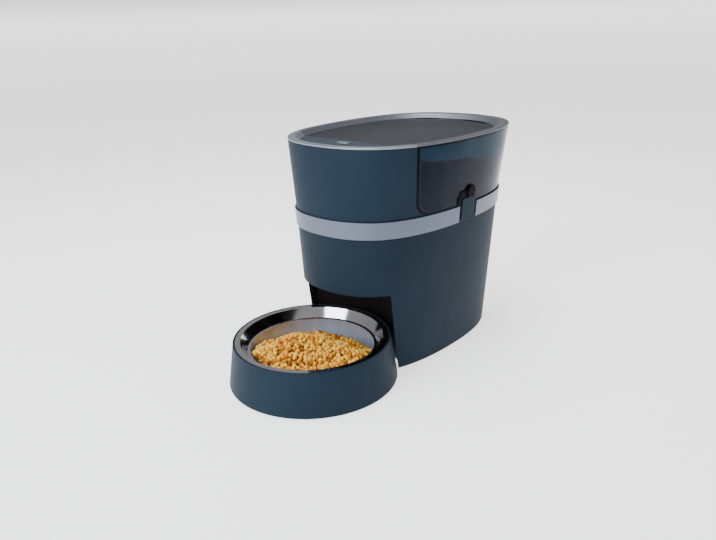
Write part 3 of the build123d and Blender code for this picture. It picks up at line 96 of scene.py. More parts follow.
class ShaderTree:
    """One material's node tree, with short calls for wiring it."""

    def __init__(self, name: str) -> None:
        """Start a material that holds a single principled shader.

        Args:
            name: Name of the material.
        """
        self.material = bpy.data.materials.new(name)
        self.material.use_nodes = True
        self.nodes = self.material.node_tree.nodes
        self.links = self.material.node_tree.links
        self.surface = next(n for n in self.nodes if n.type == "BSDF_PRINCIPLED")
        self.place = self.nodes.new("ShaderNodeTexCoord").outputs["Object"]

    def set(self, **values: float | Colour) -> None:
        """Set constant values on the shader's own sockets.

        Args:
            **values: Socket names with underscores for spaces.
        """
        for key, value in values.items():
            socket = self.surface.inputs[key.replace("_", " ")]
            socket.default_value = (*value, 1.0) if socket.type == "RGBA" else value

    def noise(self, scale: float, detail: float = 2.0, stretch: Colour = (1.0, 1.0, 1.0)) -> Socket:
        """Make a noise pattern in object space.

        Args:
            scale: Patches per metre.
            detail: Levels of finer noise.
            stretch: How much the pattern is squeezed along each axis.

        Returns:
            The noise's value socket.
        """
        mapping = self.nodes.new("ShaderNodeMapping")
        mapping.inputs["Scale"].default_value = stretch
        texture = self.nodes.new("ShaderNodeTexNoise")
        texture.inputs["Scale"].default_value = scale
        texture.inputs["Detail"].default_value = detail
        self.links.new(self.place, mapping.inputs["Vector"])
        self.links.new(mapping.outputs["Vector"], texture.inputs["Vector"])
        return texture.outputs["Fac"]

    def ramp(self, source: Socket, *stops: tuple[float, Colour]) -> Socket:
        """Turn a value into colours.

        Args:
            source: Socket that gives the value.
            *stops: Pairs of place and colour.

        Returns:
            The colour socket.
        """
        node = self.nodes.new("ShaderNodeValToRGB")
        while len(node.color_ramp.elements) < len(stops):
            node.color_ramp.elements.new(0.5)
        for element, (place, colour) in zip(node.color_ramp.elements, stops):
            element.position = place
            element.color = (*colour, 1.0)
        self.links.new(source, node.inputs["Fac"])
        return node.outputs["Color"]

    def span(self, source: Socket, low: float, high: float, start: float = 0.0, end: float = 1.0) -> Socket:
        """Map a value from one range onto another.

        Args:
            source: Socket that gives the value.
            low: Result at the start.
            high: Result at the end.
            start: Value at which the range starts.
            end: Value at which it ends.

        Returns:
            The mapped socket.
        """
        node = self.nodes.new("ShaderNodeMapRange")
        for name, value in (("From Min", start), ("From Max", end), ("To Min", low), ("To Max", high)):
            node.inputs[name].default_value = value
        self.links.new(source, node.inputs["Value"])
        return node.outputs["Result"]

    def bump(self, source: Socket, depth: float, strength: float = 1.0) -> None:
        """Raise the surface by a pattern, on top of any earlier one.

        Args:
            source: Socket that gives the height from 0 to 1.
            depth: Height of the pattern in metres.
            strength: Share of the effect.
        """
        node = self.nodes.new("ShaderNodeBump")
        node.inputs["Distance"].default_value = depth
        node.inputs["Strength"].default_value = strength
        self.links.new(source, node.inputs["Height"])
        normal = self.surface.inputs["Normal"]
        if normal.is_linked:
            self.links.new(normal.links[0].from_socket, node.inputs["Normal"])
        self.links.new(node.outputs["Normal"], normal)

    def steps(self, low: float, high: float, under: Colour, over: Colour) -> Socket:
        """Change colour with height, in metres above the floor.

        Args:
            low: Height up to which the first colour holds.
            high: Height from which the second one holds.
            under: Colour below.
            over: Colour above.

        Returns:
            The colour socket.
        """
        height = self.axes()[2]
        return self.ramp(self.span(height, 0.0, 1.0, low, high), (0.0, under), (1.0, over))

    def compute(self, kind: str, *values: Socket | float) -> Socket:
        """Work out a value.

        Args:
            kind: Operation of the math node.
            *values: Sockets or numbers, as many as the operation takes.

        Returns:
            The result's socket.
        """
        node = self.nodes.new("ShaderNodeMath")
        node.operation = kind
        for socket, value in zip(node.inputs, values):
            if isinstance(value, Socket):
                self.links.new(value, socket)
            else:
                socket.default_value = value
        return node.outputs["Value"]

    def axes(self) -> tuple[Socket, Socket, Socket]:
        """Return the place's X, Y and Z in metres."""
        apart = self.nodes.new("ShaderNodeSeparateXYZ")
        self.links.new(self.place, apart.inputs["Vector"])
        return apart.outputs["X"], apart.outputs["Y"], apart.outputs["Z"]

    def height(self, lean: float = 0.0) -> Socket:
        """Return the height above the floor, less a lean towards the rear."""
        _, y, z = self.axes()
        return self.compute("MULTIPLY_ADD", y, -lean, z)

    def skin(self, foot: Oval, head: Oval, depth: float = 0.90) -> Socket:
        """Tell the outer skin of a tapered oval body from what lies inside it.

        Args:
            foot: Oval at the bottom.
            head: Oval at the top.
            depth: Share of the oval's measure from which a place counts as skin.

        Returns:
            A socket that is 1 on the skin and 0 inside.
        """
        x, y, z = self.axes()
        rise = head.height - foot.height
        width, length, centre = (
            self.compute("MULTIPLY_ADD", z, (high - low) / rise, low - foot.height * (high - low) / rise)
            for low, high in zip(foot[:3], head[:3])
        )
        off_centre = self.compute("SUBTRACT", y, centre)
        shares = (self.compute("DIVIDE", x, width), self.compute("DIVIDE", off_centre, length))
        powers = [self.compute("POWER", self.compute("ABSOLUTE", share), OVAL_POWER) for share in shares]
        return self.compute("GREATER_THAN", self.compute("ADD", *powers), depth)

    def frame_depth(self, front: Place, foot: float, head: float, corner: float) -> Socket:
        """Measure how far inside a rounded window a place lies.

        Args:
            front: How far before the origin the leaning front edge stands, its lean, and the height of both.
            foot: Height of the lower edge.
            head: Height of the upper edge.
            corner: Radius of the lower front corner.

        Returns:
            The distance from the nearest edge, up to the corner's radius.
        """
        _, y, z = self.axes()
        before, lean, level = front
        inwards = self.compute("ADD", y, self.compute("MULTIPLY_ADD", z, lean, before - lean * level))
        upwards = self.compute("SUBTRACT", z, foot)
        squares = [
            self.compute("POWER", self.compute("MAXIMUM", self.compute("SUBTRACT", corner, reach), 0.0), 2.0)
            for reach in (inwards, upwards)
        ]
        rounded = self.compute("SUBTRACT", corner, self.compute("SQRT", self.compute("ADD", *squares)))
        return self.compute("MINIMUM", self.compute("SUBTRACT", head, z), rounded)

    def mix(self, share: Socket, first: Socket, second: Socket) -> Socket:
        """Blend two colours by a share from 0 to 1.

        Args:
            share: Socket of the share.
            first: Colour at 0.
            second: Colour at 1.

        Returns:
            The mixed colour socket.
        """
        node = self.nodes.new("ShaderNodeMix")
        node.data_type = "RGBA"
        for number, source in ((MIX_SHARE, share), (MIX_FIRST, first), (MIX_SECOND, second)):
            self.links.new(source, node.inputs[number])
        return node.outputs[MIX_RESULT]

    def soften(self, radius: float) -> None:
        """Round the look of sharp edges.

        Args:
            radius: Radius of the rounding in metres.
        """
        node = self.nodes.new("ShaderNodeBevel")
        node.samples = 4
        node.inputs["Radius"].default_value = radius
        self.links.new(node.outputs["Normal"], self.surface.inputs["Normal"])

    def feed(self, source: Socket, name: str) -> None:
        """Link a socket to one of the shader's inputs."""
        self.links.new(source, self.surface.inputs[name])


@dataclass(frozen=True)
class MouldedPlastic:
    """Opaque moulded plastic with a fine spark-eroded grain and softened edges, and where given a painted
    shade inside its hollow.
    """

    name: str
    colour: Colour
    roughness: float = 0.45
    gloss: float = 0.22
    grain: float = 1800.0
    relief: float = 0.00004
    clouding: float = 0.10
    edge: float = 0.0006
    # Colour painted inside the body's outer skin as shade in its hollow; None keeps one colour
    hollow_shade: Colour | None = None

    def material(self) -> bpy.types.Material:
        """Build the plastic's material."""
        tree = ShaderTree(self.name)
        clouds = tree.noise(9.0, 3.0)
        low, high = (scaled(self.colour, 1 + sign * self.clouding) for sign in (-1, 1))
        colour = tree.ramp(clouds, (0.3, low), (0.7, high))
        # Inside the body's outer skin, in the alcove and underneath, the colour turns dark brown-black:
        # painted shade of the hollow
        if self.hollow_shade is not None:
            inside = tree.ramp(clouds, (0.0, self.hollow_shade), (1.0, self.hollow_shade))
            colour = tree.mix(tree.skin(FOOT, WAIST), inside, colour)
        tree.feed(colour, "Base Color")
        fine = tree.noise(self.grain, 1.0)
        tree.feed(tree.span(tree.noise(60.0, 4.0), self.roughness - 0.04, self.roughness + 0.05), "Roughness")
        tree.soften(self.edge)
        tree.bump(fine, self.relief)
        tree.set(Specular_IOR_Level=self.gloss)
        return tree.material


@dataclass(frozen=True)
class SatinPaint:
    """Metallic paint over plastic: small flakes under a thin clear coat."""

    name: str
    colour: Colour
    roughness: float = 0.30
    flake: float = 2600.0
    edge: float = 0.0005
    metal: float = 0.72
    bare_below: float = -1.0
    seam_below: float = -1.0
    ringed: bool = False
    # Band colour under the paint; the dark default is painted shadow along the lid's joint under the rim
    seam: Colour = (0.012, 0.015, 0.020)
    bare: Colour = (0.10, 0.19, 0.25)

    def material(self) -> bpy.types.Material:
        """Build the paint's material, with the bare plastic under the painted face and a band between them;
        on the lid that dark band is the joint under the rim's lip with painted shadow.
        """
        tree = ShaderTree(self.name)
        flakes = tree.noise(self.flake, 0.0)
        paint = tree.ramp(flakes, (0.35, scaled(self.colour, 0.86)), (0.65, scaled(self.colour, 1.12)))
        if self.seam_below > 0:
            painted = tree.compute("GREATER_THAN", tree.height(), self.seam_below)
            if self.ringed:
                inner = tree.skin(WAIST, TOP, depth=0.86)
                painted = tree.compute("MAXIMUM", painted, tree.compute("SUBTRACT", 1.0, inner))
            # Bare plastic low down, then the band: on the lid a dark line of painted shadow under the rim's
            # lip
            body = tree.steps(self.bare_below, self.bare_below + 0.0001, self.bare, self.seam)
            tree.feed(tree.mix(painted, body, paint), "Base Color")
            tree.feed(tree.span(painted, 0.0, self.metal), "Metallic")
        else:
            tree.feed(paint, "Base Color")
            tree.set(Metallic=self.metal)
        tree.feed(tree.span(tree.noise(45.0, 3.0), self.roughness - 0.03, self.roughness + 0.05), "Roughness")
        tree.soften(self.edge)
        tree.bump(flakes, 0.00002)
        tree.set(Coat_Weight=0.12, Coat_Roughness=0.25)
        return tree.material


@dataclass(frozen=True)
class ClearPlastic:
    """Tinted clear plastic that light passes through."""

    name: str
    colour: Colour
    roughness: float
    ior: float
    clearness: float
    waves: float = 0.0002

    def tree(self) -> ShaderTree:
        """Start the material with the plastic's gloss and its slight waves."""
        tree = ShaderTree(self.name)
        tree.feed(tree.span(tree.noise(120.0, 2.0), self.roughness, self.roughness + 0.05), "Roughness")
        tree.bump(tree.noise(14.0, 1.0), self.waves, 0.4)
        tree.set(IOR=self.ior)
        return tree

    def material(self) -> bpy.types.Material:
        """Build the clear plastic's material."""
        tree = self.tree()
        tree.set(Base_Color=self.colour, Transmission_Weight=self.clearness)
        return tree.material


@dataclass(frozen=True)
class TankPlastic(ClearPlastic):
    """Clear plastic of the hopper, with a painted glow above a leaning line that stands for its inside lit
    through the lid, and dark along its window's edge.
    """

    # Teal of the painted glow above the line: the hopper's inside lit through the lid, painted into the
    # plastic, which lets less light through there
    upper: Colour = shade(38, 70, 92)
    glow_clearness: float = 0.55
    line: float = 0.2840
    line_lean: float = -0.128
    line_blend: float = 0.004
    waver: float = 0.010
    window_front: Place = (0.0273, 0.0945, 0.2170)
    window_foot: float = 0.2137
    window_head: float = 0.3002
    window_corner: float = 0.018
    edge_start: float = 0.0008
    edge_end: float = 0.0032
    edge_clearness: float = 0.25

    def material(self) -> bpy.types.Material:
        """Build the tank's material."""
        tree = self.tree()
        wavy = tree.compute("MULTIPLY_ADD", tree.noise(26.0, 2.0), self.waver, tree.height(self.line_lean))
        above = tree.span(wavy, 0.0, 1.0, self.line, self.line + self.line_blend)
        grain = tree.noise(70.0, 2.0, (1.0, 1.0, 0.06))
        streaks = tree.ramp(grain, (0.3, self.colour), (0.75, scaled(self.colour, 1.5)))
        # Painted glow: patchy teal standing in for the inside lit through the lid
        clouds = tree.noise(38.0, 2.0)
        painted_glow = tree.ramp(clouds, (0.3, scaled(self.upper, 0.7)), (0.7, scaled(self.upper, 1.25)))
        inwards = tree.frame_depth(self.window_front, self.window_foot, self.window_head, self.window_corner)
        pane = tree.span(inwards, 0.0, 1.0, self.edge_start, self.edge_end)
        dark = tree.ramp(tree.noise(50.0), (0.0, shade(3, 5, 10)), (1.0, shade(8, 10, 18)))
        tree.feed(tree.mix(pane, dark, tree.mix(above, streaks, painted_glow)), "Base Color")
        clear = tree.span(above, self.clearness, self.glow_clearness)
        clear = tree.compute("MULTIPLY", clear, tree.span(pane, self.edge_clearness, 1.0))
        tree.feed(clear, "Transmission Weight")
        return tree.material


@dataclass(frozen=True)
class BareMetal:
    """Plain metal, polished, turned or plated."""

    name: str
    colour: Colour
    roughness: float = 0.22
    lines: Colour = (1.0, 1.0, 1.0)
    line_scale: float = 400.0
    # Height below which the metal carries a painted sky reflection, and that reflection's bluish grey
    sky_reflection_below: float = -1.0
    sky_reflection: Colour = (0.34, 0.39, 0.50)

    def material(self) -> bpy.types.Material:
        """Build the metal's material; below a height it turns rougher and partly diffuse in a bluish grey, a
        painted reflection of the sky.
        """
        tree = ShaderTree(self.name)
        marks = tree.noise(self.line_scale, 3.0, self.lines)
        colour = tree.ramp(marks, (0.3, scaled(self.colour, 0.92)), (0.7, self.colour))
        rough = tree.span(marks, self.roughness * 0.8, self.roughness * 1.3)
        if self.sky_reflection_below > 0:
            # Below the height: painted sky reflection, a bluish grey that is partly diffuse
            sky_tinted = tree.compute("LESS_THAN", tree.height(), self.sky_reflection_below)
            rough = tree.compute("MULTIPLY_ADD", sky_tinted, 0.08, rough)
            painted_sky = tree.ramp(marks, (0.3, self.sky_reflection), (0.7, scaled(self.sky_reflection, 1.2)))
            colour = tree.mix(sky_tinted, colour, painted_sky)
            tree.feed(tree.span(sky_tinted, 1.0, 0.42), "Metallic")
        else:
            tree.set(Metallic=1.0)
        tree.feed(colour, "Base Color")
        tree.feed(rough, "Roughness")
        tree.bump(marks, 0.00001)
        return tree.material


@dataclass(frozen=True)
class SoftRubber:
    """Matte rubber with a soft bloom."""

    name: str
    colour: Colour
    roughness: float = 0.72

    def material(self) -> bpy.types.Material:
        """Build the rubber's material."""
        tree = ShaderTree(self.name)
        bloom = tree.ramp(tree.noise(70.0, 5.0), (0.3, self.colour), (0.75, scaled(self.colour, 1.35)))
        tree.feed(bloom, "Base Color")
        tree.bump(tree.noise(1200.0, 2.0), 0.00008)
        tree.set(Roughness=self.roughness, Sheen_Weight=0.2, Sheen_Roughness=0.5)
        return tree.material


@dataclass(frozen=True)
class DryFood:
    """Baked kibble: a crumbly skin whose tone differs from piece to piece."""

    name: str
    pale: Colour
    mid: Colour
    dark: Colour

    def material(self) -> bpy.types.Material:
        """Build the kibble's material."""
        tree = ShaderTree(self.name)
        tone = tree.nodes.new("ShaderNodeAttribute")
        tone.attribute_name = "tone"
        mixed = tree.compute("MULTIPLY_ADD", tree.noise(420.0, 4.0), 0.45, tone.outputs["Fac"])
        tree.feed(tree.ramp(mixed, (0.15, self.dark), (0.6, self.mid), (1.1, self.pale)), "Base Color")
        tree.bump(tree.noise(900.0, 4.0), 0.0006, 0.7)
        tree.set(Roughness=0.66, Specular_IOR_Level=0.2)
        tree.set(Subsurface_Weight=0.08, Subsurface_Radius=(0.004, 0.002, 0.001), Subsurface_Scale=1.0)
        return tree.material


@dataclass(frozen=True)
class CircuitBoard:
    """Solder mask with pale traces."""

    name: str
    mask: Colour
    trace: Colour

    def material(self) -> bpy.types.Material:
        """Build the board's material."""
        tree = ShaderTree(self.name)
        cells = tree.nodes.new("ShaderNodeTexBrick")
        cells.inputs["Scale"].default_value = 160.0
        cells.inputs["Mortar Size"].default_value = 0.012
        cells.inputs["Color1"].default_value = (*self.mask, 1.0)
        cells.inputs["Color2"].default_value = (*scaled(self.mask, 0.8), 1.0)
        cells.inputs["Mortar"].default_value = (*self.trace, 1.0)
        tree.links.new(tree.place, cells.inputs["Vector"])
        tree.feed(cells.outputs["Color"], "Base Color")
        tree.set(Roughness=0.32, Coat_Weight=0.3)
        return tree.material


NAVY = MouldedPlastic("navy_plastic", shade(29, 42, 54), roughness=0.5, gloss=0.06)
# The shell's hollow colour is painted shade inside its alcove and underside
SHELL_NAVY = MouldedPlastic(
    "shell_plastic", shade(28, 40, 52), roughness=0.5, gloss=0.06, hollow_shade=shade(26, 22, 23)
)
NAVY_DEEP = MouldedPlastic("navy_plastic_deep", shade(16, 26, 36), roughness=0.5)
CAP_GREY = MouldedPlastic("cap_plastic", shade(46, 56, 70), roughness=0.36, gloss=0.12, relief=0.00002)
INNER_BLACK = MouldedPlastic("inner_plastic", shade(20, 20, 23), roughness=0.5)
STUD_BLACK = MouldedPlastic("stud_plastic", shade(8, 10, 14), roughness=0.6, gloss=0.05)
# Near-black for the lid's painted shadow gaps
SHADOW_GAP_BLACK = MouldedPlastic("painted_shadow_gap", shade(4, 6, 10), roughness=0.8, gloss=0.02)
SILVER = SatinPaint("silver_paint", shade(92, 98, 114), roughness=0.36)
RIM_SILVER = SatinPaint("rim_paint", shade(136, 142, 155), roughness=0.34)
# The lid's dark band below the rim's lip is the joint with painted shadow; the bare colour is its skirt
LID_SILVER = SatinPaint(
    "lid_paint", shade(98, 101, 112), roughness=0.38, seam_below=0.3014, bare_below=0.2990, ringed=True,
    bare=shade(38, 64, 84),
)
SMOKED = ClearPlastic(
    "smoked_plastic", shade(56, 60, 73), roughness=0.32, ior=1.25, clearness=0.7, waves=0.00003
)
TINTED = TankPlastic("tinted_plastic", shade(72, 82, 106), roughness=0.05, ior=1.14, clearness=0.92)
# Below its ledge the bowl's wall carries a painted sky reflection
BOWL_STEEL = BareMetal("bowl_steel", shade(208, 208, 210), roughness=0.10, line_scale=60.0, sky_reflection_below=0.0436)
PLATED = BareMetal("plated_steel", shade(178, 180, 184), roughness=0.3)
BRONZE = BareMetal("bush_bronze", shade(176, 140, 84), roughness=0.38)
CELL_JACKET = SatinPaint(
    "cell_jacket", shade(176, 120, 66), roughness=0.34, seam_below=0.055, bare_below=0.053,
    seam=(0.5, 0.5, 0.5), bare=(0.010, 0.011, 0.013),
)
SPRING_STRIP = BareMetal("contact_strip", shade(200, 196, 178), roughness=0.25)
BLACK_RUBBER = SoftRubber("black_rubber", shade(34, 34, 36))
BELT_RUBBER = SoftRubber("belt_rubber", shade(96, 108, 118))
ACETAL = MouldedPlastic("white_acetal", shade(222, 220, 208), roughness=0.36, relief=0.00001)
BOARD = CircuitBoard("board_green", shade(26, 92, 58), shade(120, 150, 90))
KIBBLE = DryFood("kibble", shade(254, 204, 84), shade(238, 160, 44), shade(112, 54, 8))
# Darker kibble for the bed under the pellets: painted shade in the gaps between them
KIBBLE_SHADE = DryFood("kibble_shade", shade(150, 92, 36), shade(120, 70, 26), shade(70, 38, 14))
STORED_FOOD = DryFood("stored_food", shade(150, 118, 84), shade(116, 88, 62), shade(62, 44, 30))


@dataclass(frozen=True)
class Palette:
    """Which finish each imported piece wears."""

    finishes: tuple[tuple[object, tuple[str, ...]], ...] = (
        (SHELL_NAVY, ("base_housing",)),
        (NAVY, ("front_cover", "bowl_tray", "battery_door", "latch_right", "latch_left")),
        (NAVY_DEEP, ("hopper_funnel",)),
        (STUD_BLACK, ("latch_studs",)),
        (CAP_GREY, ("control_cap",)),
        (INNER_BLACK, ("base_plate", "hopper_liner", "conveyor_frame", "food_chute", "chute_sensors",
                       "battery_case", "power_inlet")),
        (SILVER, ("trim_band",)),
        (RIM_SILVER, ("front_rim", "feed_button")),
        (LID_SILVER, ("lid_frame",)),
        (SMOKED, ("lid_window",)),
        (TINTED, ("hopper",)),
        (BOWL_STEEL, ("steel_bowl",)),
        (PLATED, ("base_screws", "latch_pins", "lid_hinge_pin", "motor_bracket", "motor_screws",
                  "gear_motor")),
        (BRONZE, ("roller_bushings",)),
        (CELL_JACKET, ("battery_cells",)),
        (SPRING_STRIP, ("battery_contacts",)),
        (BLACK_RUBBER, ("rubber_feet", "tray_pads", "lid_seal", "button_dome")),
        (BELT_RUBBER, ("conveyor_belt",)),
        (ACETAL, ("drive_roller", "idler_roller", "drive_gear", "motor_pinion")),
        (BOARD, ("control_board",)),
    )

    def dress(self) -> None:
        """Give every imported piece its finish."""
        left = set(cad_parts)
        for finish, names in self.finishes:
            material = finish.material()
            for name in names:
                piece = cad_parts[name]
                for slot in piece.material_slots:
                    slot.material = material
                left.discard(name)
        log.info("dressed the packed pieces, left plain: %s", sorted(left))


class TreeMaker:
    """A geometry node tree with short calls for wiring it."""

    def __init__(self, name: str) -> None:
        """Start an empty tree with a geometry output.

        Args:
            name: Name of the tree.
        """
        self.tree = bpy.data.node_groups.new(name, "GeometryNodeTree")
        self.tree.interface.new_socket("Geometry", in_out="INPUT", socket_type="NodeSocketGeometry")
        self.tree.interface.new_socket("Geometry", in_out="OUTPUT", socket_type="NodeSocketGeometry")
        self.sizes: dict[str, tuple[str, float | int]] = {}
        self.source = self.tree.nodes.new("NodeGroupInput")
        self.result = self.tree.nodes.new("NodeGroupOutput")

    def size(self, name: str, value: float | int) -> Socket:
        """Add a named size to the tree.

        Args:
            name: Name of the input.
            value: Value that the modifier gives it.

        Returns:
            The input's socket inside the tree.
        """
        kind = "NodeSocketInt" if isinstance(value, int) else "NodeSocketFloat"
        socket = self.tree.interface.new_socket(name, in_out="INPUT", socket_type=kind)
        self.sizes[name] = (socket.identifier, value)
        return self.source.outputs[name]

    def node(self, kind: str, links: dict[str, object] | None = None, **settings: object) -> bpy.types.Node:
        """Add a node.

        Args:
            kind: Node type without the GeometryNode prefix, or a full type name.
            links: Input name to a socket or a constant.
            **settings: Attributes of the node.

        Returns:
            The new node.
        """
        full = kind.startswith(("GeometryNode", "FunctionNode", "ShaderNode"))
        made = self.tree.nodes.new(kind if full else "GeometryNode" + kind)
        for key, value in settings.items():
            setattr(made, key, value)
        for key, value in (links or {}).items():
            if isinstance(value, Socket):
                self.tree.links.new(value, made.inputs[key])
            else:
                made.inputs[key].default_value = value
        return made

    def finish(self, geometry: Socket, material: bpy.types.Material) -> None:
        """End the tree in real meshes with one material.

        Args:
            geometry: Socket of the geometry to hand over.
            material: Material of every face.
        """
        real = self.node("RealizeInstances", {"Geometry": geometry})
        coloured = self.node("SetMaterial", {"Geometry": real.outputs["Geometry"], "Material": material})
        self.tree.links.new(coloured.outputs["Geometry"], self.result.inputs["Geometry"])

    def bake(self, name: str, base: bpy.types.Object) -> bpy.types.Object:
        """Run the tree on an object and keep the outcome as a plain mesh.

        Args:
            name: Name of the new piece.
            base: Object that the tree starts from; it is removed.

        Returns:
            The new piece.
        """
        modifier = base.modifiers.new("nodes", "NODES")
        modifier.node_group = self.tree
        for identifier, value in self.sizes.values():
            modifier[identifier] = value
        bpy.context.view_layer.update()
        graph = bpy.context.evaluated_depsgraph_get()
        mesh = bpy.data.meshes.new_from_object(base.evaluated_get(graph))
        mesh.name = name
        base.modifiers.remove(modifier)
        bpy.data.objects.remove(base)
        piece = bpy.data.objects.new(name, mesh)
        bpy.context.scene.collection.objects.link(piece)
        return piece


def mesh_piece(name: str, build: bmesh.types.BMesh, smooth: bool = True) -> bpy.types.Object:
    """Turn a working mesh into an object.

    Args:
        name: Name of the piece.
        build: Working mesh, which is freed.
        smooth: Whether the faces are shaded smooth.

    Returns:
        The new object.
    """
    mesh = bpy.data.meshes.new(name)
    for face in build.faces:
        face.smooth = smooth
    build.to_mesh(mesh)
    build.free()
    piece = bpy.data.objects.new(name, mesh)
    bpy.context.scene.collection.objects.link(piece)
    return piece


# Dry food: how far a piece's skin is dented and how finely, how many lie on a square metre at most,
# and the least and most it is stretched along its own axes
FOOD_DENT = 0.0011
FOOD_CRUMPLE = 260.0
FOOD_DENSITY = 90000.0
FOOD_LEAST = (0.85, 0.80, 0.62)
FOOD_MOST = (1.20, 1.10, 0.88)


def loose_food(name: str, base: bpy.types.Object, material: bpy.types.Material, seed: int,
               size: float, gap: float) -> bpy.types.Object:
    """Strew pieces of dry food over a surface.

    Args:
        name: Name of the piece.
        base: Surface that carries the food; it is removed.
        material: Finish of the food.
        seed: Seed of the scatter.
        size: Radius of a piece.
        gap: Least distance between two pieces.

    Returns:
        The layer of food.
    """
    maker = TreeMaker(name + "_tree")
    points = maker.node(
        "DistributePointsOnFaces",
        {"Mesh": maker.source.outputs["Geometry"], "Distance Min": maker.size("gap", gap),
         "Density Max": maker.size("density", FOOD_DENSITY), "Seed": maker.size("seed", seed)},
        distribute_method="POISSON",
    )
    pellet = maker.node("MeshIcoSphere", {"Radius": maker.size("pellet radius", size), "Subdivisions": 2})
    crumple = maker.node("ShaderNodeTexNoise", {"Scale": FOOD_CRUMPLE, "Detail": 1.0})
    spread = maker.node(
        "ShaderNodeMapRange", {"Value": crumple.outputs["Fac"], "To Min": -FOOD_DENT, "To Max": FOOD_DENT}
    )
    normal = maker.node("InputNormal")
    push = maker.node(
        "ShaderNodeVectorMath", {"Vector": normal.outputs["Normal"], "Scale": spread.outputs["Result"]},
        operation="SCALE",
    )
    lumpy = maker.node("SetPosition", {"Geometry": pellet.outputs["Mesh"], "Offset": push.outputs["Vector"]})
    soft = maker.node("SetShadeSmooth", {"Geometry": lumpy.outputs["Geometry"]})
    turn = maker.node("FunctionNodeRandomValue", {"Seed": seed + 1}, data_type="FLOAT_VECTOR")
    turn.inputs["Max"].default_value = (math.tau, math.tau, math.tau)
    grow = maker.node("FunctionNodeRandomValue", {"Seed": seed + 2}, data_type="FLOAT_VECTOR")
    grow.inputs["Min"].default_value = FOOD_LEAST
    grow.inputs["Max"].default_value = FOOD_MOST
    strewn = maker.node(
        "InstanceOnPoints",
        {"Points": points.outputs["Points"], "Instance": soft.outputs["Geometry"],
         "Rotation": turn.outputs["Value"], "Scale": grow.outputs["Value"]},
    )
    tone = maker.node("FunctionNodeRandomValue", {"Seed": seed + 3}, data_type="FLOAT")
    stored = maker.node(
        "StoreNamedAttribute",
        {"Geometry": strewn.outputs["Instances"], "Name": "tone"},
        data_type="FLOAT", domain="INSTANCE",
    )
    value_in = next(s for s in stored.inputs if s.name == "Value" and s.enabled)
    value_out = next(s for s in tone.outputs if s.enabled)
    maker.tree.links.new(value_out, value_in)
    maker.finish(stored.outputs["Geometry"], material)
    return maker.bake(name, base)


def neighbours(row: list) -> zip:
    """Return each point of a closed row with the next one."""
    return zip(row, row[1:] + row[:1])


def rings_mesh(name: str, rows: list[list[Vector]], top: Vector | None = None,
               bottom: Vector | None = None) -> bpy.types.Object:
    """Join closed rows of points into a surface.

    Args:
        name: Name of the object.
        rows: Closed rows with as many points each, from the bottom or outside to the top or centre.
        top: Point that closes the last row.
        bottom: Point that closes the first row.

    Returns:
        The surface as an object.
    """
    build = bmesh.new()
    laid = [[build.verts.new(point) for point in row] for row in rows]
    for near, far in zip(laid, laid[1:]):
        for (a, b), (c, d) in zip(neighbours(near), neighbours(far)):
            build.faces.new((a, b, d, c))
    for row, end, flip in ((laid[-1], top, False), (laid[0], bottom, True)):
        if end is None:
            continue
        tip = build.verts.new(end)
        for a, b in neighbours(row):
            build.faces.new((b, a, tip) if flip else (a, b, tip))
    return mesh_piece(name, build)


@dataclass
class BowlFood:
    """Kibble heaped in the steel bowl, highest near the middle and sloping to the far side."""

    centre: Vector = field(default_factory=lambda: Vector((0, -0.12605, 0)))
    crown: float = 0.0505
    facing: float = math.radians(43.0)
    ledge_radius: float = 0.0815
    floor_radius: float = 0.060
    ledge_height: float = 0.0442
    floor_height: float = 0.0107
    clearance: float = 0.0042
    ridge_back: float = -0.008
    ridge_bend: float = 6.0
    ridge_lean: float = 0.12
    slope_along: float = 4.5
    slope_across: float = 1.2
    lump: float = 0.0010
    bed_drop: float = 0.0045
    least_depth: float = 0.004
    rings: int = 20
    spokes: int = 72

    def height(self, x: float, y: float) -> float:
        """Height of the heap's surface at a place from the bowl's centre."""
        away = -x * math.sin(self.facing) + y * math.cos(self.facing)
        across = x * math.cos(self.facing) + y * math.sin(self.facing)
        ridge = self.ridge_back - self.ridge_bend * across**2 - self.ridge_lean * across
        lumps = self.lump * (math.sin(x * 190 + 1.3) + math.sin(y * 170 + 0.4) + math.sin((x + y) * 120))
        return self.crown - self.slope_along * (away - ridge) ** 2 - self.slope_across * across**2 + lumps

    def wall(self, height: float) -> float:
        """Radius of the bowl's inner wall at a height."""
        depth = min(1.0, max(0.0, (self.ledge_height - height) / (self.ledge_height - self.floor_height)))
        return self.floor_radius + (self.ledge_radius - self.floor_radius) * math.sqrt(1 - depth**2)

    def bed(self, drop: float, name: str) -> bpy.types.Object:
        """Make the heap's surface, lowered a little.

        Args:
            drop: How far under the heap's surface it lies.
            name: Name of the object.

        Returns:
            The surface.
        """
        edge = []
        for spoke in range(self.spokes):
            angle = math.tau * spoke / self.spokes
            reach = self.ledge_radius - self.clearance
            for _ in range(6):
                level = self.height(reach * math.cos(angle), reach * math.sin(angle)) - drop
                reach = self.wall(level) - self.clearance
            edge.append((angle, reach))
        rows = []
        for ring in range(self.rings, 0, -1):
            row = []
            for angle, reach in edge:
                x, y = (reach * ring / self.rings * f for f in (math.cos(angle), math.sin(angle)))
                level = max(self.floor_height + self.least_depth, self.height(x, y) - drop)
                row.append(self.centre + Vector((x, y, level)))
            rows.append(row)
        return rings_mesh(name, rows, top=self.centre + Vector((0, 0, self.height(0, 0) - drop)))

    def build(self) -> None:
        """Make the bed and two layers of kibble."""
        kibble = KIBBLE.material()
        bed = self.bed(self.bed_drop, "bowl_food_bed")
        # The bed's darker kibble is painted shade between the pellets
        bed.data.materials.append(KIBBLE_SHADE.material())
        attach(bed, Body.BOWL.value)
        for layer, (seed, drop) in enumerate(((11, 0.0), (47, 0.0034))):
            name = f"bowl_food_{layer}"
            piece = loose_food(name, self.bed(drop, name + "_base"), kibble, seed, size=0.0030, gap=0.0042)
            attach(piece, Body.BOWL.value)
            log.info("%s: %d faces", piece.name, len(piece.data.polygons))


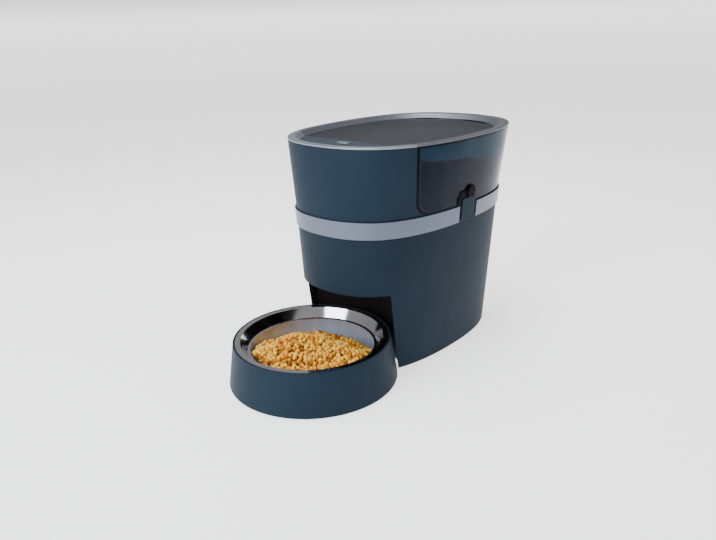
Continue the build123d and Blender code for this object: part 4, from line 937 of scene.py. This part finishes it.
@dataclass
class UpperOval:
    """Oval of the hopper and its rim between the waist and the top, in metres."""

    fullness: float = 0.70
    steps: int = 20

    def sizes(self, height: float, inset: float) -> tuple[float, float, float]:
        """Return half width, half length and centre Y at a height."""
        share = (height - WAIST.height) / (TOP.height - WAIST.height)
        width, length, centre = (low + (high - low) * share for low, high in zip(WAIST[:3], TOP[:3]))
        return width - inset, length - inset, centre

    def quadrant(self, t: float) -> tuple[float, float]:
        """Return a point of the unit oval's quadrant."""
        s = 1 - t
        across = s**3 + 3 * s**2 * t + 3 * self.fullness * s * t**2
        along = t**3 + 3 * s * t**2 + 3 * self.fullness * s**2 * t
        return across, along

    def crossing(self, axis: int, share: float) -> tuple[float, float]:
        """Return the unit quadrant's point whose place along an axis is a given share."""
        low, high = 0.0, 1.0
        for _ in range(24):
            half = (low + high) / 2
            short = self.quadrant(half)[axis] < share
            low, high = (half, high) if short == (axis == 1) else (low, half)
        return self.quadrant(low)

    def ring(self, height: float, inset: float) -> list[tuple[float, float]]:
        """Return the oval's points at a height, counter-clockwise from +X."""
        width, length, centre = self.sizes(height, inset)
        shares = [i / self.steps for i in range(self.steps)]
        quarter = [self.quadrant(t) for t in shares]
        turned = [self.quadrant(1 - t) for t in shares]
        points = quarter + [(-a, b) for a, b in turned]
        points += [(-a, -b) for a, b in quarter] + [(a, -b) for a, b in turned]
        return [(width * a, centre + length * b) for a, b in points]

    def side(self, height: float, y: float, inset: float) -> float:
        """Return the half width at a height and a place along Y."""
        width, length, centre = self.sizes(height, inset)
        return width * self.crossing(1, abs(y - centre) / length)[0]


@dataclass
class HopperFood:
    """Dry food that fills the hopper to about two thirds."""

    oval: UpperOval = field(default_factory=UpperOval)
    bottom: float = 0.2170
    front_foot: float = -0.0252
    front_slope: float = -0.0945
    level_front: float = 0.2605
    level_rear: float = 0.2750
    clearance: float = 0.0040
    front_gap: float = 0.004
    length: float = 0.24
    rise: float = 0.05
    heap: float = 0.006
    rows: int = 8
    rings: int = 14

    def front(self, height: float) -> float:
        """Return the Y of the hopper's front wall at a height."""
        return self.front_foot + self.front_slope * (height - self.bottom)

    def level(self, x: float, y: float) -> float:
        """Return the height of the food at the wall."""
        share = (y - self.front(self.level_front)) / self.length
        waver = 0.0012 * (math.sin(y * 95) + math.sin(y * 230 + x * 40) * 0.6)
        return self.level_front + (self.level_rear - self.level_front) * share + waver

    def sides(self) -> list[list[Vector]]:
        """Return closed rows of points up the wall, from the floor to the food's edge."""
        sides = []
        for row in range(self.rows + 1):
            share = row / self.rows
            laid = self.bottom + share * self.rise
            base_width, base_length, base_centre = self.oval.sizes(laid, self.clearance)
            points = []
            for x, y in self.oval.ring(laid, self.clearance):
                height = self.bottom + (self.level(x, y) - self.bottom) * share
                width, length, centre = self.oval.sizes(height, self.clearance)
                x, y = x * width / base_width, centre + (y - base_centre) * length / base_length
                points.append(Vector((x, max(y, self.front(height) + self.front_gap), height)))
            sides.append(points)
        return sides

    def tops(self, edge: list[Vector], middle: Vector) -> list[list[Vector]]:
        """Return closed rows of points over the food, from its edge to near its middle."""
        tops = []
        for ring in range(self.rings - 1, 0, -1):
            share = ring / self.rings
            row = [middle + (point - middle) * share for point in edge]
            for point in row:
                lump = 0.0009 * math.sin(point.x * 210) * math.sin(point.y * 180)
                point.z += self.heap * (1 - share**2) + lump
            tops.append(row)
        return tops

    def build(self) -> None:
        """Make the body of food and the loose pieces on top of it."""
        sides = self.sides()
        edge = sides[-1]
        middle = sum(edge, Vector()) / len(edge)
        tops = self.tops(edge, middle)
        crown = middle + Vector((0, 0, self.heap))
        finish = STORED_FOOD.material()
        body = rings_mesh("hopper_food", sides + tops, top=crown, bottom=Vector((0, middle.y, self.bottom)))
        body.data.materials.append(finish)
        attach(body, Body.HOUSING.value)
        surface = rings_mesh("hopper_food_top_base", tops, top=crown)
        loose = loose_food("hopper_food_top", surface, finish, 83, size=0.0035, gap=0.0050)
        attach(loose, Body.HOUSING.value)
        log.info("hopper food: %d and %d faces", len(body.data.polygons), len(loose.data.polygons))


@dataclass
class LatchShadeStep:
    """Raised step on the hopper's wall beside each latch, reaching up to the stud; its near-black is painted
    shade beside the latch tab.
    """

    oval: UpperOval = field(default_factory=UpperOval)
    centre_y: float = 0.06905
    proud: float = 0.0014
    sunk: float = 0.00005
    bevel: float = 0.0004
    outline: tuple[tuple[float, float], ...] = (
        (-0.0269, 0.2137), (-0.0163, 0.2137), (-0.0163, 0.2209), (-0.0080, 0.2209), (-0.0088, 0.2255),
        (-0.0088, 0.2318), (-0.0215, 0.2312),
    )

    def build(self) -> None:
        """Make the step on both sides."""
        # Near-black finish: painted shade beside the latch tab
        finish = STUD_BLACK.material()
        for name, side in (("latch_shade_right", 1), ("latch_shade_left", -1)):
            build = bmesh.new()
            shells = []
            for out in (-self.sunk, self.proud):
                shells.append([
                    build.verts.new((side * self.oval.side(z, self.centre_y + y, -out), self.centre_y + y, z))
                    for y, z in self.outline
                ])
            inner, outer = shells
            build.faces.new(inner)
            build.faces.new(list(reversed(outer)))
            for (a, b), (c, d) in zip(neighbours(inner), neighbours(outer)):
                build.faces.new((a, c, d, b))
            bmesh.ops.recalc_face_normals(build, faces=build.faces[:])
            piece = mesh_piece(name, build, smooth=False)
            bevel = piece.modifiers.new("edges", "BEVEL")
            bevel.width, bevel.segments, bevel.limit_method = self.bevel, 2, "ANGLE"
            piece.data.materials.append(finish)
            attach(piece, Body.HOUSING.value)
            log.info("%s ready", name)


@dataclass
class LidShadowGaps:
    """Two slim dark inlays along the rear edge of the lid's window, painted shadow where the window meets the
    rim.

    The dish is each ring's lift above the panel and its share of the full width.
    """

    oval: UpperOval = field(default_factory=UpperOval)
    half_width: float = 0.1036
    half_length: float = 0.1479
    centre_y: float = 0.06025
    panel_top: float = 0.2974
    spans: tuple[tuple[float, float], ...] = ((-0.068, -0.034), (0.002, 0.056))
    depth: float = 0.0062
    margin: float = 0.0014
    seam: float = 0.00001
    dish: tuple[tuple[float, float], ...] = ((0.00002, 1.0), (0.0005, 0.97), (0.0005, 0.80), (0.0002, 0.70))
    steps: int = 28

    def edge_y(self, x: float) -> float:
        """Return the Y of the window's rear edge at a place across."""
        return self.centre_y + self.half_length * self.oval.crossing(0, abs(x) / self.half_width)[1]

    def middle_y(self, x: float) -> float:
        """Return the Y of a painted shadow gap's middle line at a place across."""
        return self.edge_y(x) - self.margin - self.depth / 2

    def build(self) -> None:
        """Make both painted shadow gaps as slim dished inlays."""
        finish = SHADOW_GAP_BLACK.material()
        for number, (start, end) in enumerate(self.spans):
            rows = []
            for lift, shrink in self.dish:
                rear, front = [], []
                for step in range(self.steps + 1):
                    share = step / self.steps
                    x = start + (end - start) * (0.5 + (share - 0.5) * shrink)
                    swell = math.sqrt(max(0.0, 1 - (2 * share - 1) ** 2))
                    middle = self.middle_y(x)
                    half = self.depth / 2 * swell * shrink
                    rear.append(Vector((x, middle + half, self.panel_top + lift)))
                    front.append(Vector((x, middle - half - self.seam, self.panel_top + lift)))
                rows.append(front + rear[::-1])
            x = (start + end) / 2
            middle = Vector((x, self.middle_y(x), self.panel_top + self.dish[-1][0]))
            piece = rings_mesh(f"lid_shadow_gap_{number}", rows, top=middle)
            piece.data.materials.append(finish)
            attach(piece, Body.LID.value)
        log.info("lid slots ready")


@dataclass
class PowerSocket:
    """Centre pin and collar of the power inlet, turned about the inlet's axis."""

    height: float = 0.095
    face_y: float = 0.217877
    pin_radius: float = 0.0009
    pin_foot: float = 0.0092
    pin_tip: float = 0.0014
    collar: tuple[tuple[float, float], ...] = (
        (0.0076, 0.0006), (0.0076, -0.0004), (0.0073, -0.0009), (0.0062, -0.0010), (0.0058, -0.0007),
        (0.0057, -0.0001), (0.0057, 0.0006),
    )
    spokes: int = 40

    def turned(self, name: str, profile: Sequence[tuple[float, float]], closed: bool) -> bpy.types.Object:
        """Turn a profile about the inlet's axis.

        Args:
            name: Name of the piece.
            profile: Pairs of radius and distance behind the face, from the foot outwards.
            closed: Whether the last point lies on the axis.

        Returns:
            The turned piece.
        """
        rows = []
        for radius, behind in profile[:-1] if closed else profile:
            rows.append([
                Vector((radius * math.cos(a), self.face_y - behind, self.height + radius * math.sin(a)))
                for a in (math.tau * i / self.spokes for i in range(self.spokes))
            ])
        tip = Vector((0, self.face_y - profile[-1][1], self.height)) if closed else None
        piece = rings_mesh(name, rows, top=tip)
        build = bmesh.new()
        build.from_mesh(piece.data)
        bmesh.ops.recalc_face_normals(build, faces=build.faces[:])
        build.to_mesh(piece.data)
        build.free()
        return piece

    def build(self) -> None:
        """Make the pin and the collar."""
        r = self.pin_radius
        pin = self.turned(
            "inlet_pin",
            [(r, self.pin_foot), (r, self.pin_tip + 0.0006), (r * 0.85, self.pin_tip + 0.0002),
             (r * 0.5, self.pin_tip), (0.0, self.pin_tip)],
            closed=True,
        )
        pin.data.materials.append(PLATED.material())
        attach(pin, Body.HOUSING.value)
        collar = self.turned("inlet_collar", self.collar, closed=False)
        collar.data.materials.append(INNER_BLACK.material())
        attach(collar, Body.HOUSING.value)
        log.info("power inlet ready")


@dataclass
class Studio:
    """Floor, lights and the photograph's camera."""

    azimuth: float = 43.04
    elevation: float = 20.3
    roll: float = -1.73
    distance: float = 0.9254
    target: Vector = field(default_factory=lambda: Vector((0.0, -0.060 + 0.05435, 0.150)))
    shift_right: float = -0.01915
    shift_up: float = -0.03388
    lens: float = 33.47
    glow: float = 1.4
    flagged_glow: Colour = (0.12, 0.12, 0.12)
    flag: tuple[float, float] = (0.62, 0.95)
    dimming: tuple[float, float] = (0.55, 0.9)
    floor_reach: float = 7.0
    floor_bend: float = 0.9

    def camera(self) -> None:
        """Place the camera where the photograph was taken from."""
        turn, tilt, twist = (math.radians(v) for v in (self.azimuth, self.elevation, self.roll))
        back = Vector((math.sin(turn) * math.cos(tilt), -math.cos(turn) * math.cos(tilt), math.sin(tilt)))
        right = Vector((0, 0, 1)).cross(back).normalized()
        up = back.cross(right)
        place = self.target + right * self.shift_right + up * self.shift_up + back * self.distance
        leaning_right = right * math.cos(twist) + up * math.sin(twist)
        leaning_up = up * math.cos(twist) - right * math.sin(twist)
        data = bpy.data.cameras.new("photo_camera")
        data.lens, data.sensor_width = self.lens, 36.0
        data.clip_start, data.clip_end = 0.01, 50.0
        eye = bpy.data.objects.new("photo_camera", data)
        eye.matrix_world = Matrix((leaning_right, leaning_up, back)).transposed().to_4x4()
        eye.location = place
        bpy.context.scene.collection.objects.link(eye)
        bpy.context.scene.camera = eye

    def floor(self) -> None:
        """Lay a pale round floor that turns up far away."""
        spokes, turns = 96, 16
        rise = [(r, 0.0) for r in (0.0, 0.4, 0.9, 1.6, 2.6, 4.0, 5.5, self.floor_reach)]
        for step in range(1, turns + 1):
            angle = math.pi / 2 * step / turns
            outwards, upwards = math.sin(angle), 1 - math.cos(angle)
            rise.append((self.floor_reach + self.floor_bend * outwards, self.floor_bend * upwards))
        around = [math.tau * i / spokes for i in range(spokes)]
        rows = [
            [Vector((r * math.cos(a), r * math.sin(a), h)) for a in around]
            for r, h in reversed(rise[1:])
        ]
        floor = rings_mesh("studio_floor", rows, top=Vector((0, 0, 0)))
        tree = ShaderTree("studio_floor")
        beside = tree.span(tree.axes()[0], 0.0, 1.0, *self.flag)
        flagged = tree.steps(*self.dimming, self.flagged_glow, (0.0, 0.0, 0.0))
        bright = tree.steps(*self.dimming, (1.0, 1.0, 1.0), (0.0, 0.0, 0.0))
        tree.feed(tree.mix(beside, bright, flagged), "Emission Color")
        tree.set(Base_Color=(0.9, 0.9, 0.9), Roughness=0.9, Specular_IOR_Level=0.0)
        tree.set(Emission_Strength=self.glow)
        floor.data.materials.append(tree.material)

    def lamp(self, name: str, place: Place, aim: Place, size: tuple[float, float], power: float,
             colour: Colour = (1.0, 1.0, 1.0)) -> None:
        """Hang a soft box.

        Args:
            name: Name of the lamp.
            place: Where it hangs.
            aim: Point that it faces.
            size: Width and height of its face.
            power: Power in watts.
            colour: Colour of its light.
        """
        data = bpy.data.lights.new(name, "AREA")
        data.shape, data.size, data.size_y = "RECTANGLE", size[0], size[1]
        data.energy, data.color = power, colour
        lamp = bpy.data.objects.new(name, data)
        lamp.location = place
        lamp.rotation_euler = (Vector(place) - Vector(aim)).to_track_quat("Z", "Y").to_euler()
        bpy.context.scene.collection.objects.link(lamp)

    def lights(self) -> None:
        """Light the scene softly from above and from the front, under a sky that dims to the horizon."""
        world = bpy.data.worlds.new("studio")
        world.use_nodes = True
        nodes, links = world.node_tree.nodes, world.node_tree.links
        sky = nodes["Background"]
        place = nodes.new("ShaderNodeTexCoord")
        apart = nodes.new("ShaderNodeSeparateXYZ")
        fade = nodes.new("ShaderNodeValToRGB")
        for element, (height, value) in zip(fade.color_ramp.elements, ((0.0, 0.36), (1.0, 0.70))):
            element.position = height
            element.color = (value, value, value * 1.02, 1.0)
        links.new(place.outputs["Generated"], apart.inputs["Vector"])
        links.new(apart.outputs["Z"], fade.inputs["Fac"])
        links.new(fade.outputs["Color"], sky.inputs["Color"])
        sky.inputs["Strength"].default_value = 0.68
        bpy.context.scene.world = world
        self.lamp("top_box", (-0.25, 0.1, 1.6), (0, 0, 0.1), (1.0, 1.0), 22.0)
        self.lamp("front_box", (-0.10, -1.6, 1.0), (0, 0, 0.15), (1.0, 1.2), 34.0, (0.90, 0.97, 1.0))
        self.lamp("rear_right_box", (1.5, 0.9, 0.9), (0, 0.1, 0.2), (0.6, 1.0), 2.0)

    def build(self) -> None:
        """Make the camera, the floor and the lights."""
        self.camera()
        self.floor()
        self.lights()
        log.info("studio ready")


def main() -> None:
    """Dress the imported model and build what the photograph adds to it."""
    logging.basicConfig(level=logging.INFO, format="%(message)s")
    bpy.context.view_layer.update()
    Studio().build()
    Palette().dress()
    for part in (BowlFood(), HopperFood(), LatchShadeStep(), LidShadowGaps(), PowerSocket()):
        part.build()


if __name__ == "__main__":
    main()
